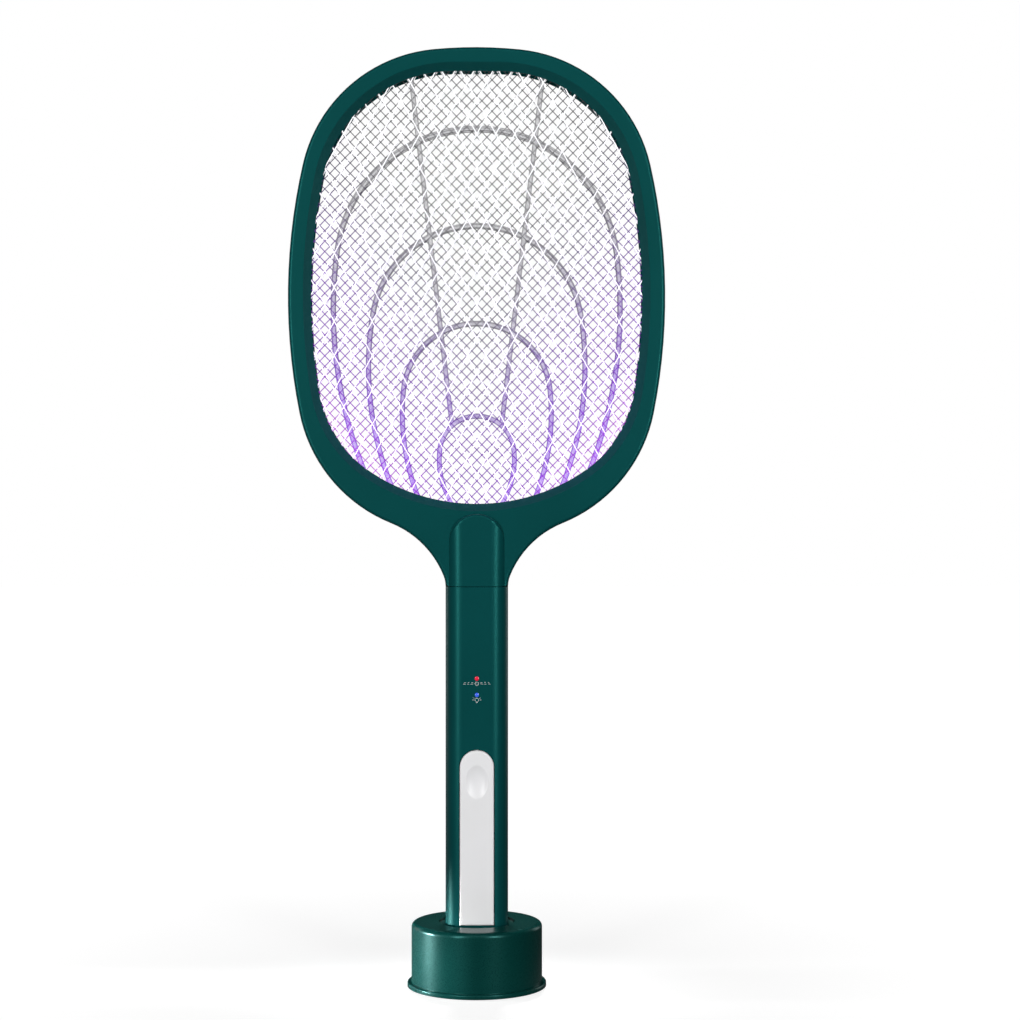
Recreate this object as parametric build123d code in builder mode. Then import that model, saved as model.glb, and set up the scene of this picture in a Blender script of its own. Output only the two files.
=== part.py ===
"""Electric fly swatter standing upright in its round charging dock.

The dock stands on the plane Z = 0 with its centre line on the Z axis. The front of the swatter, with
the trigger key, faces -Y, and X runs across the head. Sizes are in millimetres.
"""

from build123d import *

import math
import os

os.makedirs("parts", exist_ok=True)

# ---- Dock ----
DOCK_RADIUS = 35.0
DOCK_HEIGHT = 34.6
FLANGE_OVERHANG = 2.2
FLANGE_HEIGHT = 3.0
DOCK_WALL = 2.2
DOCK_TOP_EDGE = 2.6
COLLAR_MARGIN = 3.6
COLLAR_DEPTH = 1.2
SOCKET_FLOOR = 10.4
SOCKET_WALL = 1.8
SOCKET_GAP = 0.35
FOOT_RADIUS = 4.5
FOOT_REACH = 0.5
FOOT_THICKNESS = 1.7
FOOT_CIRCLE = 27.0
PLATE_THICKNESS = 2.5
DOCK_SCREW_CIRCLE = 28.0
DOCK_SCREW_COUNT = 4
PIN_SPACING = 16.0
PIN_RADIUS = 0.8
PIN_COLLAR_RADIUS = 1.3
PIN_TRAVEL = 0.8
PIN_SPRING_WIRE = 0.25
USB_WIDTH = 9.0
USB_HEIGHT = 3.2
USB_DEPTH = 7.4

# ---- Handle ----
HANDLE_WIDTH = 33.4
HANDLE_DEPTH = 25.0
HANDLE_CORNER = 9.0
HANDLE_WALL = 2.0
HANDLE_TOP = 214.2
SEAM_GAP = 0.3
CAP_THICKNESS = 2.0
CAP_PLUG = 3.6
PAD_RADIUS = 2.6
PAD_THICKNESS = 0.4

# ---- Trigger key ----
KEY_WIDTH = 18.2
KEY_BOTTOM = 34.6
KEY_TOP = 127.6
KEY_PROUD = 0.8
KEY_THICKNESS = 2.5
KEY_GAP = 0.35
KEY_EDGE = 0.7
KEY_PIVOT_RISE = 5.0
KEY_PIVOT_DEPTH = 8.3
PIVOT_RADIUS = 1.0
DIMPLE_WIDTH = 10.6
DIMPLE_HEIGHT = 15.5
DIMPLE_DEPTH = 0.9
DIMPLE_DROP = 16.9

# ---- Head ----
HEAD_HALF_DEPTH = 9.0
HEAD_EDGE = 1.9
WINDOW_FLAT = 12.3
WINDOW_SHOULDER_RADIUS = 71.4
WINDOW_SHOULDER_TURN = 78.8
WINDOW_SIDE_RADIUS = 322.1
WINDOW_SIDE_TURN = 20.4
WINDOW_LOWER_RADIUS = 63.5
WINDOW_LOWER_TURN = 48.1
RIM_TOP_WIDTH = 12.2
RIM_CROWN_RADIUS = 236.3
RIM_CROWN_TURN = 5.6
RIM_SHOULDER_EXTRA = 7.9
RIM_SHOULDER_TURN = 71.5
RIM_SIDE_LESS = 5.4
RIM_SIDE_TURN = 24.2
RIM_LOWER_EXTRA = 16.8
BEVEL_WIDTH = 4.0
BEVEL_DEPTH = 4.5
NECK_LENGTH = 43.9
NECK_FOOT_RADIUS = 15.0
NECK_FOOT_TURN = 22.0
TONGUE_HALF_WIDTH = 14.8
TONGUE_LENGTH = 38.5
TONGUE_EDGE = 1.6
SEAT_WIDTH = 3.9
CHANNEL_DEPTH = 7.0
RIM_WALL = 2.2
BOSS_RADIUS = 2.7
BOSS_LINE = 7.9
TENON_WIDTH = 24.0
TENON_LENGTH = 15.0
TENON_HALF_DEPTH = 8.0
WIREWAY_WIDTH = 12.0

# ---- Nets and ribs ----
GUARD_CELL_WIDTH = 10.15
GUARD_CELL_HEIGHT = 18.25
GUARD_WIRE = 0.7
GUARD_THICKNESS = 1.0
GRID_CELL_WIDTH = 5.43
GRID_CELL_HEIGHT = 5.59
GRID_WIRE = 0.5
GRID_THICKNESS = 1.2
WIRE_LAYER_GAP = 0.04
WIRE_SEAT = 2.2
SPACER_INSET = 1.4
SPACER_GAP = 0.2
RIB_WIDTH = 2.5
RIB_SINK = 0.6

# ---- Lamp ----
LAMP_POCKET_WIDTH = 40.0
LAMP_POCKET_DROP = 11.4
LAMP_POCKET_HALF_DEPTH = 5.0
LAMP_COUNT = 5
LAMP_SPACING = 6.4
LAMP_RADIUS = 1.5
LEAD_SHIFT = 3.2
LEAD_RADIUS = 0.5

# ---- Electronics and fasteners ----
CELL_RADIUS = 7.1
CELL_LENGTH = 50.0
CELL_BOTTOM = 17.2
CELL_BACK_SHIFT = 2.4
BOARD_WIDTH = 26.0
BOARD_BOTTOM = 77.0
BOARD_DROP = 18.2
BOARD_FACE = 1.0
BOARD_THICKNESS = 1.6
POST_X = 10.0
POST_INSET = 4.0
RED_LIGHT_DROP = 48.6
BLUE_LIGHT_DROP = 57.3
LIGHT_RADIUS = 1.15
STEM_RADIUS = 1.6
STEM_GAP = 0.05
STEM_TRAVEL = 0.95
SLIDER_DROP = 49.2
SLIDER_TRAVEL = 3.0
SCREW_RADIUS = 1.1
SCREW_HEAD_RADIUS = 2.2
SCREW_HEAD_DEPTH = 1.5
SCREW_GAP = 0.03
CASE_SCREW_X = 11.5
CASE_SCREW_Z = 72.0
TENON_SCREW_X = 8.0
TENON_SCREW_DROP = 8.5
NECK_SCREW_X = 27.0
NECK_SCREW_RISE = 32.0

# ---- Heights that follow from the sizes above ----
handle_bottom = SOCKET_FLOOR
shell_bottom = handle_bottom + CAP_THICKNESS
seam_height = HANDLE_TOP + SEAM_GAP
window_bottom = seam_height + NECK_LENGTH
half_width = HANDLE_WIDTH / 2
half_depth = HANDLE_DEPTH / 2
inner_half_depth = half_depth - HANDLE_WALL
board_back = BOARD_FACE + BOARD_THICKNESS
board_top = HANDLE_TOP - BOARD_DROP
red_light_z = HANDLE_TOP - RED_LIGHT_DROP
blue_light_z = HANDLE_TOP - BLUE_LIGHT_DROP
slider_z = HANDLE_TOP - SLIDER_DROP
head_face = -HEAD_HALF_DEPTH
guard_face = head_face + BEVEL_DEPTH
guard_back = guard_face + GUARD_THICKNESS
grid_face = -GRID_THICKNESS / 2


def front_plane(y):
    """The plane at this Y whose sketches lie in X and Z and extrude towards the front."""
    return Plane.XZ.offset(-y)


def after_arcs(x, z, radii, turns):
    """Where a chain of tangent arcs ends that starts level and turns down: X, Z and heading."""
    heading = 0.0
    for radius, turn in zip(radii, turns):
        centre_x = x - radius * math.sin(heading)
        centre_z = z - radius * math.cos(heading)
        heading += math.radians(turn)
        x = centre_x + radius * math.sin(heading)
        z = centre_z + radius * math.cos(heading)
    return x, z, heading


# The window's last arc closes the oval on the middle line, so its radius follows from the others.
window_radii = (WINDOW_SHOULDER_RADIUS, WINDOW_SIDE_RADIUS, WINDOW_LOWER_RADIUS)
window_turns = (WINDOW_SHOULDER_TURN, WINDOW_SIDE_TURN, WINDOW_LOWER_TURN)
window_x, window_drop, window_heading = after_arcs(WINDOW_FLAT, 0.0, window_radii, window_turns)
closing_radius = window_x / math.sin(window_heading)
window_drop -= closing_radius * (1 + math.cos(window_heading))
window_top = window_bottom - window_drop
head_top = window_top + RIM_TOP_WIDTH
window_middle = (window_top + window_bottom) / 2

rim_radii = (
    RIM_CROWN_RADIUS,
    WINDOW_SHOULDER_RADIUS + RIM_SHOULDER_EXTRA,
    WINDOW_SIDE_RADIUS - RIM_SIDE_LESS,
)
rim_turns = (RIM_CROWN_TURN, RIM_SHOULDER_TURN, RIM_SIDE_TURN)
rim_lower_radius = WINDOW_LOWER_RADIUS + RIM_LOWER_EXTRA
rim_x, rim_z, rim_heading = after_arcs(0.0, head_top, rim_radii, rim_turns)
lower_x = rim_x - rim_lower_radius * math.sin(rim_heading)
lower_z = rim_z - rim_lower_radius * math.cos(rim_heading)

# The neck runs up from the handle on a small arc, then on the one arc that meets the rim smoothly.
foot_angle = math.radians(NECK_FOOT_TURN)
foot_x = half_width + NECK_FOOT_RADIUS - lower_x
foot_z = seam_height - lower_z
foot_reach_out = foot_x * math.cos(foot_angle) - foot_z * math.sin(foot_angle)
flare_radius = (
    rim_lower_radius**2
    - foot_x**2
    - foot_z**2
    + 2 * NECK_FOOT_RADIUS * foot_reach_out
    - NECK_FOOT_RADIUS**2
) / (2 * (foot_reach_out - NECK_FOOT_RADIUS - rim_lower_radius))
flare_x = foot_x + (flare_radius - NECK_FOOT_RADIUS) * math.cos(foot_angle)
flare_z = foot_z - (flare_radius - NECK_FOOT_RADIUS) * math.sin(foot_angle)
flare_angle = math.degrees(math.atan2(-flare_z, flare_x))
flare_turn = flare_angle - NECK_FOOT_TURN
lower_turn = 90 + flare_angle - math.degrees(rim_heading)

with BuildSketch() as window_outline:
    with BuildLine():
        crown = Line((0, window_top), (WINDOW_FLAT, window_top))
        shoulder = JernArc(crown @ 1, crown % 1, window_radii[0], -window_turns[0])
        side = JernArc(shoulder @ 1, shoulder % 1, window_radii[1], -window_turns[1])
        lower = JernArc(side @ 1, side % 1, window_radii[2], -window_turns[2])
        JernArc(lower @ 1, lower % 1, closing_radius, -(180 - sum(window_turns)))
        mirror(about=Plane.YZ)
    make_face()

with BuildSketch() as head_outline:
    with BuildLine():
        crown = JernArc((0, head_top), (1, 0), rim_radii[0], -rim_turns[0])
        shoulder = JernArc(crown @ 1, crown % 1, rim_radii[1], -rim_turns[1])
        side = JernArc(shoulder @ 1, shoulder % 1, rim_radii[2], -rim_turns[2])
        lower = JernArc(side @ 1, side % 1, rim_lower_radius, -lower_turn)
        flare = JernArc(lower @ 1, lower % 1, flare_radius, flare_turn)
        foot = JernArc(flare @ 1, flare % 1, NECK_FOOT_RADIUS, NECK_FOOT_TURN)
        Line(foot @ 1, (0, seam_height))
        mirror(about=Plane.YZ)
    make_face()


def widened_window(amount):
    """The window outline moved outwards by this amount."""
    with BuildSketch() as wide:
        add(window_outline.sketch)
        offset(amount=amount, kind=Kind.ARC)
    return wide.sketch


def outline_points(face, count=720):
    """Evenly spaced points along the face's outline."""
    wire = face.faces()[0].outer_wire()
    return [wire.position_at(step / count) for step in range(count)]


def chord(points, angle, shift):
    """Middle and length of the line at this angle and sideways shift, cut off at the outline."""
    along = (math.cos(math.radians(angle)), math.sin(math.radians(angle)))
    across = (-along[1], along[0])
    reaches = []
    for first, second in zip(points, points[1:] + points[:1]):
        off_first = first.X * across[0] + (first.Y - window_middle) * across[1] - shift
        off_second = second.X * across[0] + (second.Y - window_middle) * across[1] - shift
        if off_first * off_second < 0:
            share = off_first / (off_first - off_second)
            x = first.X + share * (second.X - first.X)
            z = first.Y + share * (second.Y - first.Y) - window_middle
            reaches.append(x * along[0] + z * along[1])
    if len(reaches) < 2:
        return None
    middle = (min(reaches) + max(reaches)) / 2
    centre = (
        middle * along[0] + shift * across[0],
        middle * along[1] + shift * across[1] + window_middle,
    )
    return centre, max(reaches) - min(reaches)


seat_points = outline_points(widened_window(WIRE_SEAT))


def wire_faces(angle, spacing, width):
    """Parallel straight wires that cross the window at one angle."""
    bars = []
    count = int(window_top / spacing)
    for index in range(-count, count + 1):
        cut = chord(seat_points, angle, (index + 0.5) * spacing)
        if cut is not None and cut[1] > 4 * width:
            centre, length = cut
            bar = Rectangle(length, width, rotation=angle, mode=Mode.PRIVATE)
            bars.append(Pos(centre[0], centre[1]) * bar)
    return bars


def handle_section(shrink):
    """The handle's rounded section, made smaller by this much all round."""
    width = HANDLE_WIDTH - 2 * shrink
    depth = HANDLE_DEPTH - 2 * shrink
    return RectangleRounded(width, depth, HANDLE_CORNER - shrink)


# ======== Dock ========

plate_bottom = FOOT_REACH
plate_top = plate_bottom + PLATE_THICKNESS
board_bottom_in_dock = plate_top + 1.0
board_top_in_dock = board_bottom_in_dock + 1.2
socket_underside = SOCKET_FLOOR - 1.6

dock_screw_spots = PolarLocations(DOCK_SCREW_CIRCLE, DOCK_SCREW_COUNT, start_angle=45)
foot_spots = PolarLocations(FOOT_CIRCLE, 4, start_angle=0)

with BuildPart() as base_housing:
    with BuildSketch(Plane.XY.offset(plate_top)):
        Circle(DOCK_RADIUS)
    extrude(amount=DOCK_HEIGHT - plate_top)
    top_rim = base_housing.edges().group_by(Axis.Z)[-1]
    fillet(top_rim, radius=DOCK_TOP_EDGE)
    with BuildSketch(Plane.XY.offset(plate_top)):
        Circle(DOCK_RADIUS - DOCK_WALL)
    extrude(amount=DOCK_HEIGHT - plate_top - DOCK_WALL - COLLAR_DEPTH, mode=Mode.SUBTRACT)
    with BuildSketch(Plane.XY.offset(socket_underside)):
        RectangleRounded(
            HANDLE_WIDTH + 2 * (SOCKET_GAP + SOCKET_WALL),
            HANDLE_DEPTH + 2 * (SOCKET_GAP + SOCKET_WALL),
            HANDLE_CORNER + SOCKET_GAP + SOCKET_WALL,
        )
    extrude(amount=DOCK_HEIGHT - COLLAR_DEPTH - socket_underside)
    with dock_screw_spots:
        with Locations((0, 0, plate_top)):
            Cylinder(
                2.8,
                DOCK_HEIGHT - COLLAR_DEPTH - DOCK_WALL - plate_top,
                align=(Align.CENTER, Align.CENTER, Align.MIN),
            )
    with BuildSketch(Plane.XY.offset(DOCK_HEIGHT)):
        Circle(half_width + COLLAR_MARGIN)
    extrude(amount=-COLLAR_DEPTH, mode=Mode.SUBTRACT)
    with BuildSketch(Plane.XY.offset(SOCKET_FLOOR)):
        RectangleRounded(
            HANDLE_WIDTH + 2 * SOCKET_GAP,
            HANDLE_DEPTH + 2 * SOCKET_GAP,
            HANDLE_CORNER + SOCKET_GAP,
        )
    extrude(amount=DOCK_HEIGHT - SOCKET_FLOOR, mode=Mode.SUBTRACT)
    with Locations((-PIN_SPACING / 2, 0, SOCKET_FLOOR), (PIN_SPACING / 2, 0, SOCKET_FLOOR)):
        Hole(PIN_RADIUS + 0.3, depth=2.0)
    with dock_screw_spots:
        with Locations((0, 0, plate_top)):
            Cylinder(
                SCREW_RADIUS + SCREW_GAP,
                9.0,
                align=(Align.CENTER, Align.CENTER, Align.MIN),
                mode=Mode.SUBTRACT,
            )
    with BuildSketch(front_plane(DOCK_RADIUS + 1)):
        with Locations((0, board_top_in_dock + USB_HEIGHT / 2)):
            RectangleRounded(USB_WIDTH + 0.5, USB_HEIGHT + 0.5, 1.5)
    extrude(amount=USB_DEPTH, mode=Mode.SUBTRACT)
base_housing.part.label = "base_housing"
export_step(base_housing.part, "parts/base_housing.step")

with BuildPart() as base_plate:
    with BuildSketch(Plane.XY.offset(plate_bottom)):
        Circle(DOCK_RADIUS + FLANGE_OVERHANG)
    extrude(amount=PLATE_THICKNESS)
    flange_edges = base_plate.edges().group_by(Axis.Z)[-1]
    fillet(flange_edges, radius=0.9)
    with foot_spots:
        with Locations((0, 0, plate_bottom)):
            Cylinder(
                FOOT_RADIUS + 0.1,
                FOOT_THICKNESS - FOOT_REACH,
                align=(Align.CENTER, Align.CENTER, Align.MIN),
                mode=Mode.SUBTRACT,
            )
    with dock_screw_spots:
        with Locations((0, 0, plate_bottom)):
            Cylinder(
                SCREW_RADIUS + 0.1,
                PLATE_THICKNESS,
                align=(Align.CENTER, Align.CENTER, Align.MIN),
                mode=Mode.SUBTRACT,
            )
            Cylinder(
                SCREW_HEAD_RADIUS + 0.3,
                SCREW_HEAD_DEPTH + 0.1,
                align=(Align.CENTER, Align.CENTER, Align.MIN),
                mode=Mode.SUBTRACT,
            )
    with Locations((-11.0, 0, plate_top), (11.0, 0, plate_top), (0, 20.0, plate_top)):
        Cylinder(2.0, 1.0, align=(Align.CENTER, Align.CENTER, Align.MIN))
base_plate.part.label = "base_plate"
export_step(base_plate.part, "parts/base_plate.step")

with BuildPart() as base_feet:
    with foot_spots:
        Cylinder(FOOT_RADIUS, FOOT_THICKNESS, align=(Align.CENTER, Align.CENTER, Align.MIN))
base_feet.part.label = "base_feet"
export_step(base_feet.part, "parts/base_feet.step")


def dock_screw():
    """One self-tapping screw that comes up through the bottom plate, with a cross slot."""
    with BuildPart() as screw:
        with Locations((0, 0, plate_bottom + 0.1)):
            Cylinder(
                SCREW_HEAD_RADIUS,
                SCREW_HEAD_DEPTH,
                align=(Align.CENTER, Align.CENTER, Align.MIN),
            )
        with Locations((0, 0, plate_bottom + 0.1 + SCREW_HEAD_DEPTH)):
            Cylinder(SCREW_RADIUS, 8.0, align=(Align.CENTER, Align.CENTER, Align.MIN))
        with Locations((0, 0, plate_bottom)):
            Box(2.6, 0.6, 1.6, mode=Mode.SUBTRACT)
            Box(0.6, 2.6, 1.6, mode=Mode.SUBTRACT)
    return screw.part


with BuildPart() as base_screws:
    with dock_screw_spots:
        add(dock_screw())
base_screws.part.label = "base_screws"
export_step(base_screws.part, "parts/base_screws.step")

with BuildPart() as base_board:
    with BuildSketch(Plane.XY.offset(board_bottom_in_dock)):
        Circle(DOCK_RADIUS - DOCK_WALL - 1.0)
        with dock_screw_spots:
            Circle(3.4, mode=Mode.SUBTRACT)
        with Locations((0, -30.0)):
            Rectangle(80.0, 34.0, mode=Mode.SUBTRACT)
    extrude(amount=board_top_in_dock - board_bottom_in_dock)
base_board.part.label = "base_board"
export_step(base_board.part, "parts/base_board.step")

with BuildPart() as usb_socket:
    usb_centre = board_top_in_dock + USB_HEIGHT / 2
    with BuildSketch(front_plane(DOCK_RADIUS - 0.4)):
        with Locations((0, usb_centre)):
            RectangleRounded(USB_WIDTH, USB_HEIGHT, 1.4)
    extrude(amount=USB_DEPTH)
    with BuildSketch(front_plane(DOCK_RADIUS - 0.4)):
        with Locations((0, usb_centre)):
            RectangleRounded(USB_WIDTH - 0.6, USB_HEIGHT - 0.6, 1.2)
    extrude(amount=USB_DEPTH - 0.6, mode=Mode.SUBTRACT)
    with BuildSketch(front_plane(DOCK_RADIUS - 1.2)):
        with Locations((0, usb_centre)):
            Rectangle(6.6, 0.7)
    extrude(amount=USB_DEPTH - 1.0)
usb_socket.part.label = "usb_socket"
export_step(usb_socket.part, "parts/usb_socket.step")

pin_floor = board_top_in_dock + 0.4
pin_foot = socket_underside - 2.1

with BuildPart() as contact_block:
    with BuildSketch(Plane.XY.offset(board_top_in_dock)):
        RectangleRounded(PIN_SPACING + 8.0, 8.0, 1.5)
    extrude(amount=socket_underside - board_top_in_dock)
    with Locations(
        (-PIN_SPACING / 2, 0, socket_underside),
        (PIN_SPACING / 2, 0, socket_underside),
    ):
        Hole(PIN_COLLAR_RADIUS + 0.05, depth=socket_underside - pin_floor)
contact_block.part.label = "contact_block"
export_step(contact_block.part, "parts/contact_block.step")


def contact_pin(x):
    """A sprung charging pin with a collar that keeps it in its block."""
    with BuildPart() as pin:
        with Locations((x, 0, pin_foot)):
            Cylinder(PIN_COLLAR_RADIUS, 0.8, align=(Align.CENTER, Align.CENTER, Align.MIN))
        with Locations((x, 0, pin_foot + 0.8)):
            Cylinder(
                PIN_RADIUS,
                SOCKET_FLOOR - pin_foot - 0.8,
                align=(Align.CENTER, Align.CENTER, Align.MIN),
            )
    return pin.part


def pin_spring(x):
    """The coil spring between the block's floor and the pin's collar."""
    rise = pin_foot - pin_floor - PIN_SPRING_WIRE
    with BuildPart() as spring:
        with BuildLine() as coil:
            Helix(rise / 2, rise, 0.95, center=(x, 0, pin_floor + PIN_SPRING_WIRE / 2))
        with BuildSketch(Plane(origin=coil.line @ 0, z_dir=coil.line % 0)):
            Circle(PIN_SPRING_WIRE / 2)
        sweep()
    return spring.part


contact_pin_left = contact_pin(-PIN_SPACING / 2)
contact_pin_left.label = "contact_pin_left"
export_step(contact_pin_left, "parts/contact_pin_left.step")
contact_pin_right = contact_pin(PIN_SPACING / 2)
contact_pin_right.label = "contact_pin_right"
export_step(contact_pin_right, "parts/contact_pin_right.step")
pin_spring_left = pin_spring(-PIN_SPACING / 2)
pin_spring_left.label = "pin_spring_left"
export_step(pin_spring_left, "parts/pin_spring_left.step")
pin_spring_right = pin_spring(PIN_SPACING / 2)
pin_spring_right.label = "pin_spring_right"
export_step(pin_spring_right, "parts/pin_spring_right.step")

# ======== Head ========

boss_points = outline_points(widened_window(BOSS_LINE))
boss_spots = []
for boss_angle in (2.0, 58.0, 122.0, 178.0):
    boss_middle, boss_length = chord(boss_points, boss_angle, 0.0)
    boss_x = math.cos(math.radians(boss_angle)) * boss_length / 2
    boss_z = math.sin(math.radians(boss_angle)) * boss_length / 2
    boss_spots.append((boss_middle[0] + boss_x, boss_middle[1] + boss_z))
    if boss_angle in (58.0, 122.0):
        boss_spots.append((boss_middle[0] - boss_x, boss_middle[1] - boss_z))

neck_spots = [
    (-NECK_SCREW_X, seam_height + NECK_SCREW_RISE),
    (NECK_SCREW_X, seam_height + NECK_SCREW_RISE),
]
tenon_height = seam_height - TENON_SCREW_DROP
tenon_spots = [(-TENON_SCREW_X, tenon_height), (TENON_SCREW_X, tenon_height)]
lamp_floor = window_bottom - LAMP_POCKET_DROP

with BuildSketch() as channel_outline:
    add(head_outline.sketch)
    offset(amount=-RIM_WALL, kind=Kind.ARC)
    add(widened_window(SEAT_WIDTH + 1.8), mode=Mode.SUBTRACT)
    with Locations(*boss_spots):
        Circle(BOSS_RADIUS, mode=Mode.SUBTRACT)
    with Locations((0, seam_height)):
        Rectangle(90.0, NECK_LENGTH + 14.0, align=(Align.CENTER, Align.MIN), mode=Mode.SUBTRACT)


def neck_tongue():
    """The end of the handle's rounded tube where it runs out over the head's flat face."""
    with BuildPart() as tube:
        with BuildSketch(Plane.XY.offset(seam_height)):
            handle_section(0.0)
        extrude(amount=TONGUE_LENGTH)
        with BuildSketch(front_plane(0)):
            with Locations((0, seam_height)):
                Rectangle(
                    2 * TONGUE_HALF_WIDTH,
                    TONGUE_LENGTH - TONGUE_HALF_WIDTH,
                    align=(Align.CENTER, Align.MIN),
                )
            with Locations((0, seam_height + TONGUE_LENGTH - TONGUE_HALF_WIDTH)):
                Circle(TONGUE_HALF_WIDTH)
        extrude(amount=HANDLE_DEPTH, mode=Mode.INTERSECT)
        top_edge = tube.faces().sort_by(Axis.Y)[0].edges().sort_by(Axis.Z)[-1]
        fillet(top_edge, radius=TONGUE_EDGE)
    return tube.part


def neck_envelope():
    """The handle's section spreading upwards, which trims the neck's flanks into the handle."""
    with BuildPart() as envelope:
        with BuildSketch(Plane.XY.offset(seam_height)):
            handle_section(0.0)
        extrude(amount=40.0, taper=-45)
        with Locations((0, 0, seam_height + 32.0)):
            Box(
                600,
                100,
                window_top,
                align=(Align.CENTER, Align.CENTER, Align.MIN),
            )
    return envelope.part


def head_frame(has_heads):
    """One half of the head frame, the front one, with holes for screws or for their heads."""
    with BuildPart() as frame:
        with BuildSketch(front_plane(0)):
            add(head_outline.sketch)
        extrude(amount=HEAD_HALF_DEPTH)
        face_edges = frame.faces().sort_by(Axis.Y)[0].edges().filter_by(
            lambda edge: edge.center().Z > seam_height + 0.1
        )
        fillet(face_edges, radius=HEAD_EDGE)
        add(neck_tongue())
        add(neck_envelope(), mode=Mode.INTERSECT)
        with BuildSketch(front_plane(0)):
            add(window_outline.sketch)
        extrude(amount=HANDLE_DEPTH, mode=Mode.SUBTRACT)
        lip_edges = frame.faces().filter_by(
            lambda face: abs(face.center().Y - head_face) < 0.01 and face.area > 2000
        ).edges().filter_by(lambda edge: edge.center().Z > window_bottom - 1)
        window_face = window_outline.sketch.faces()[0]
        bevel_edges = [
            edge for edge in lip_edges
            if window_face.distance_to(Vertex(edge.center().X, edge.center().Z, 0)) < 0.05
        ]
        lip_face = frame.faces().filter_by(
            lambda face: abs(face.center().Y - head_face) < 0.01 and face.area > 2000
        )[0]
        chamfer(bevel_edges, length=BEVEL_WIDTH, length2=BEVEL_DEPTH, reference=lip_face)
        with BuildSketch(front_plane(0)):
            add(widened_window(SEAT_WIDTH))
        extrude(amount=-guard_face, mode=Mode.SUBTRACT)
        with BuildSketch(front_plane(0)):
            add(channel_outline.sketch)
        extrude(amount=CHANNEL_DEPTH, mode=Mode.SUBTRACT)
        with BuildSketch(front_plane(0)):
            with Locations((0, seam_height + 6.0)):
                Rectangle(TENON_WIDTH, TENON_LENGTH + 6.0, align=(Align.CENTER, Align.MAX))
        extrude(amount=TENON_HALF_DEPTH)
        with BuildSketch(front_plane(0)):
            with Locations((0, seam_height - TENON_LENGTH)):
                Rectangle(
                    WIREWAY_WIDTH,
                    lamp_floor - seam_height + TENON_LENGTH + 1,
                    align=(Align.CENTER, Align.MIN),
                )
            with Locations((0, lamp_floor)):
                Rectangle(
                    LAMP_POCKET_WIDTH,
                    LAMP_POCKET_DROP - 1.0,
                    align=(Align.CENTER, Align.MIN),
                )
        extrude(amount=LAMP_POCKET_HALF_DEPTH, mode=Mode.SUBTRACT)
        with BuildSketch(front_plane(0)):
            with Locations(*boss_spots, *neck_spots):
                Circle(SCREW_RADIUS + SCREW_GAP)
        extrude(amount=HEAD_HALF_DEPTH if has_heads else HEAD_HALF_DEPTH - 2, mode=Mode.SUBTRACT)
        with BuildSketch(front_plane(0)):
            with Locations(*tenon_spots):
                Circle(SCREW_RADIUS + SCREW_GAP)
        extrude(amount=TENON_HALF_DEPTH, mode=Mode.SUBTRACT)
        if has_heads:
            with BuildSketch(front_plane(head_face + SCREW_HEAD_DEPTH + 0.3)):
                with Locations(*boss_spots, *neck_spots):
                    Circle(SCREW_HEAD_RADIUS + 0.15)
            extrude(amount=HANDLE_DEPTH, mode=Mode.SUBTRACT)
    return frame.part


head_front_frame = head_frame(False)
head_front_frame.label = "head_front_frame"
export_step(head_front_frame, "parts/head_front_frame.step")

head_rear_frame = mirror(head_frame(True), about=Plane.XZ)
head_rear_frame.label = "head_rear_frame"
export_step(head_rear_frame, "parts/head_rear_frame.step")

guard_lean = math.degrees(math.atan2(GUARD_CELL_HEIGHT, GUARD_CELL_WIDTH))
guard_pitch = GUARD_CELL_WIDTH * math.sin(math.radians(guard_lean))
grid_lean = math.degrees(math.atan2(GRID_CELL_HEIGHT, GRID_CELL_WIDTH))
grid_pitch = GRID_CELL_WIDTH * math.sin(math.radians(grid_lean))


def net(face_y, thickness, lean, pitch, width):
    """Two layers of straight wires that lean opposite ways, the first layer at the front."""
    layer = (thickness - WIRE_LAYER_GAP) / 2
    with BuildPart() as wires:
        with BuildSketch(front_plane(face_y + layer)):
            add(wire_faces(lean, pitch, width))
        extrude(amount=layer)
        with BuildSketch(front_plane(face_y + thickness)):
            add(wire_faces(180 - lean, pitch, width))
        extrude(amount=layer)
    return wires.part


front_guard_mesh = net(guard_face, GUARD_THICKNESS, guard_lean, guard_pitch, GUARD_WIRE)
front_guard_mesh.label = "front_guard_mesh"
export_step(front_guard_mesh, "parts/front_guard_mesh.step")

rear_guard_mesh = net(-guard_back, GUARD_THICKNESS, guard_lean, guard_pitch, GUARD_WIRE)
rear_guard_mesh.label = "rear_guard_mesh"
export_step(rear_guard_mesh, "parts/rear_guard_mesh.step")

hv_grid = net(grid_face, GRID_THICKNESS, grid_lean, grid_pitch, GRID_WIRE)
hv_grid.label = "hv_grid"
export_step(hv_grid, "parts/hv_grid.step")


def onion_rib(top_drop, top_radius, top_turn, side_radius, side_turn):
    """A rib that arches over and draws in again below, as tangent arcs mirrored about the middle."""
    with BuildLine() as rib:
        arch = JernArc((0, window_top - top_drop), (1, 0), top_radius, -top_turn)
        JernArc(arch @ 1, arch % 1, side_radius, -side_turn)
        mirror(about=Plane.YZ)
    return rib.line


with BuildLine() as spokes:
    Line((35.6, window_top - 0.2), (13.3, window_top - 189.2))
    mirror(about=Plane.YZ)

with BuildSketch() as rib_outline:
    trace(onion_rib(30.2, 75.5, 82.3, 234.8, 39), line_width=RIB_WIDTH)
    trace(onion_rib(82.2, 56.5, 80.5, 172.4, 41.5), line_width=RIB_WIDTH)
    trace(onion_rib(134.6, 39.5, 84.0, 123.2, 33.5), line_width=RIB_WIDTH)
    trace(onion_rib(184.2, 19.9, 81.0, 42.5, 51), line_width=RIB_WIDTH)
    trace(spokes.line, line_width=RIB_WIDTH)
    add(widened_window(SPACER_INSET + 1.0), mode=Mode.INTERSECT)

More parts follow.
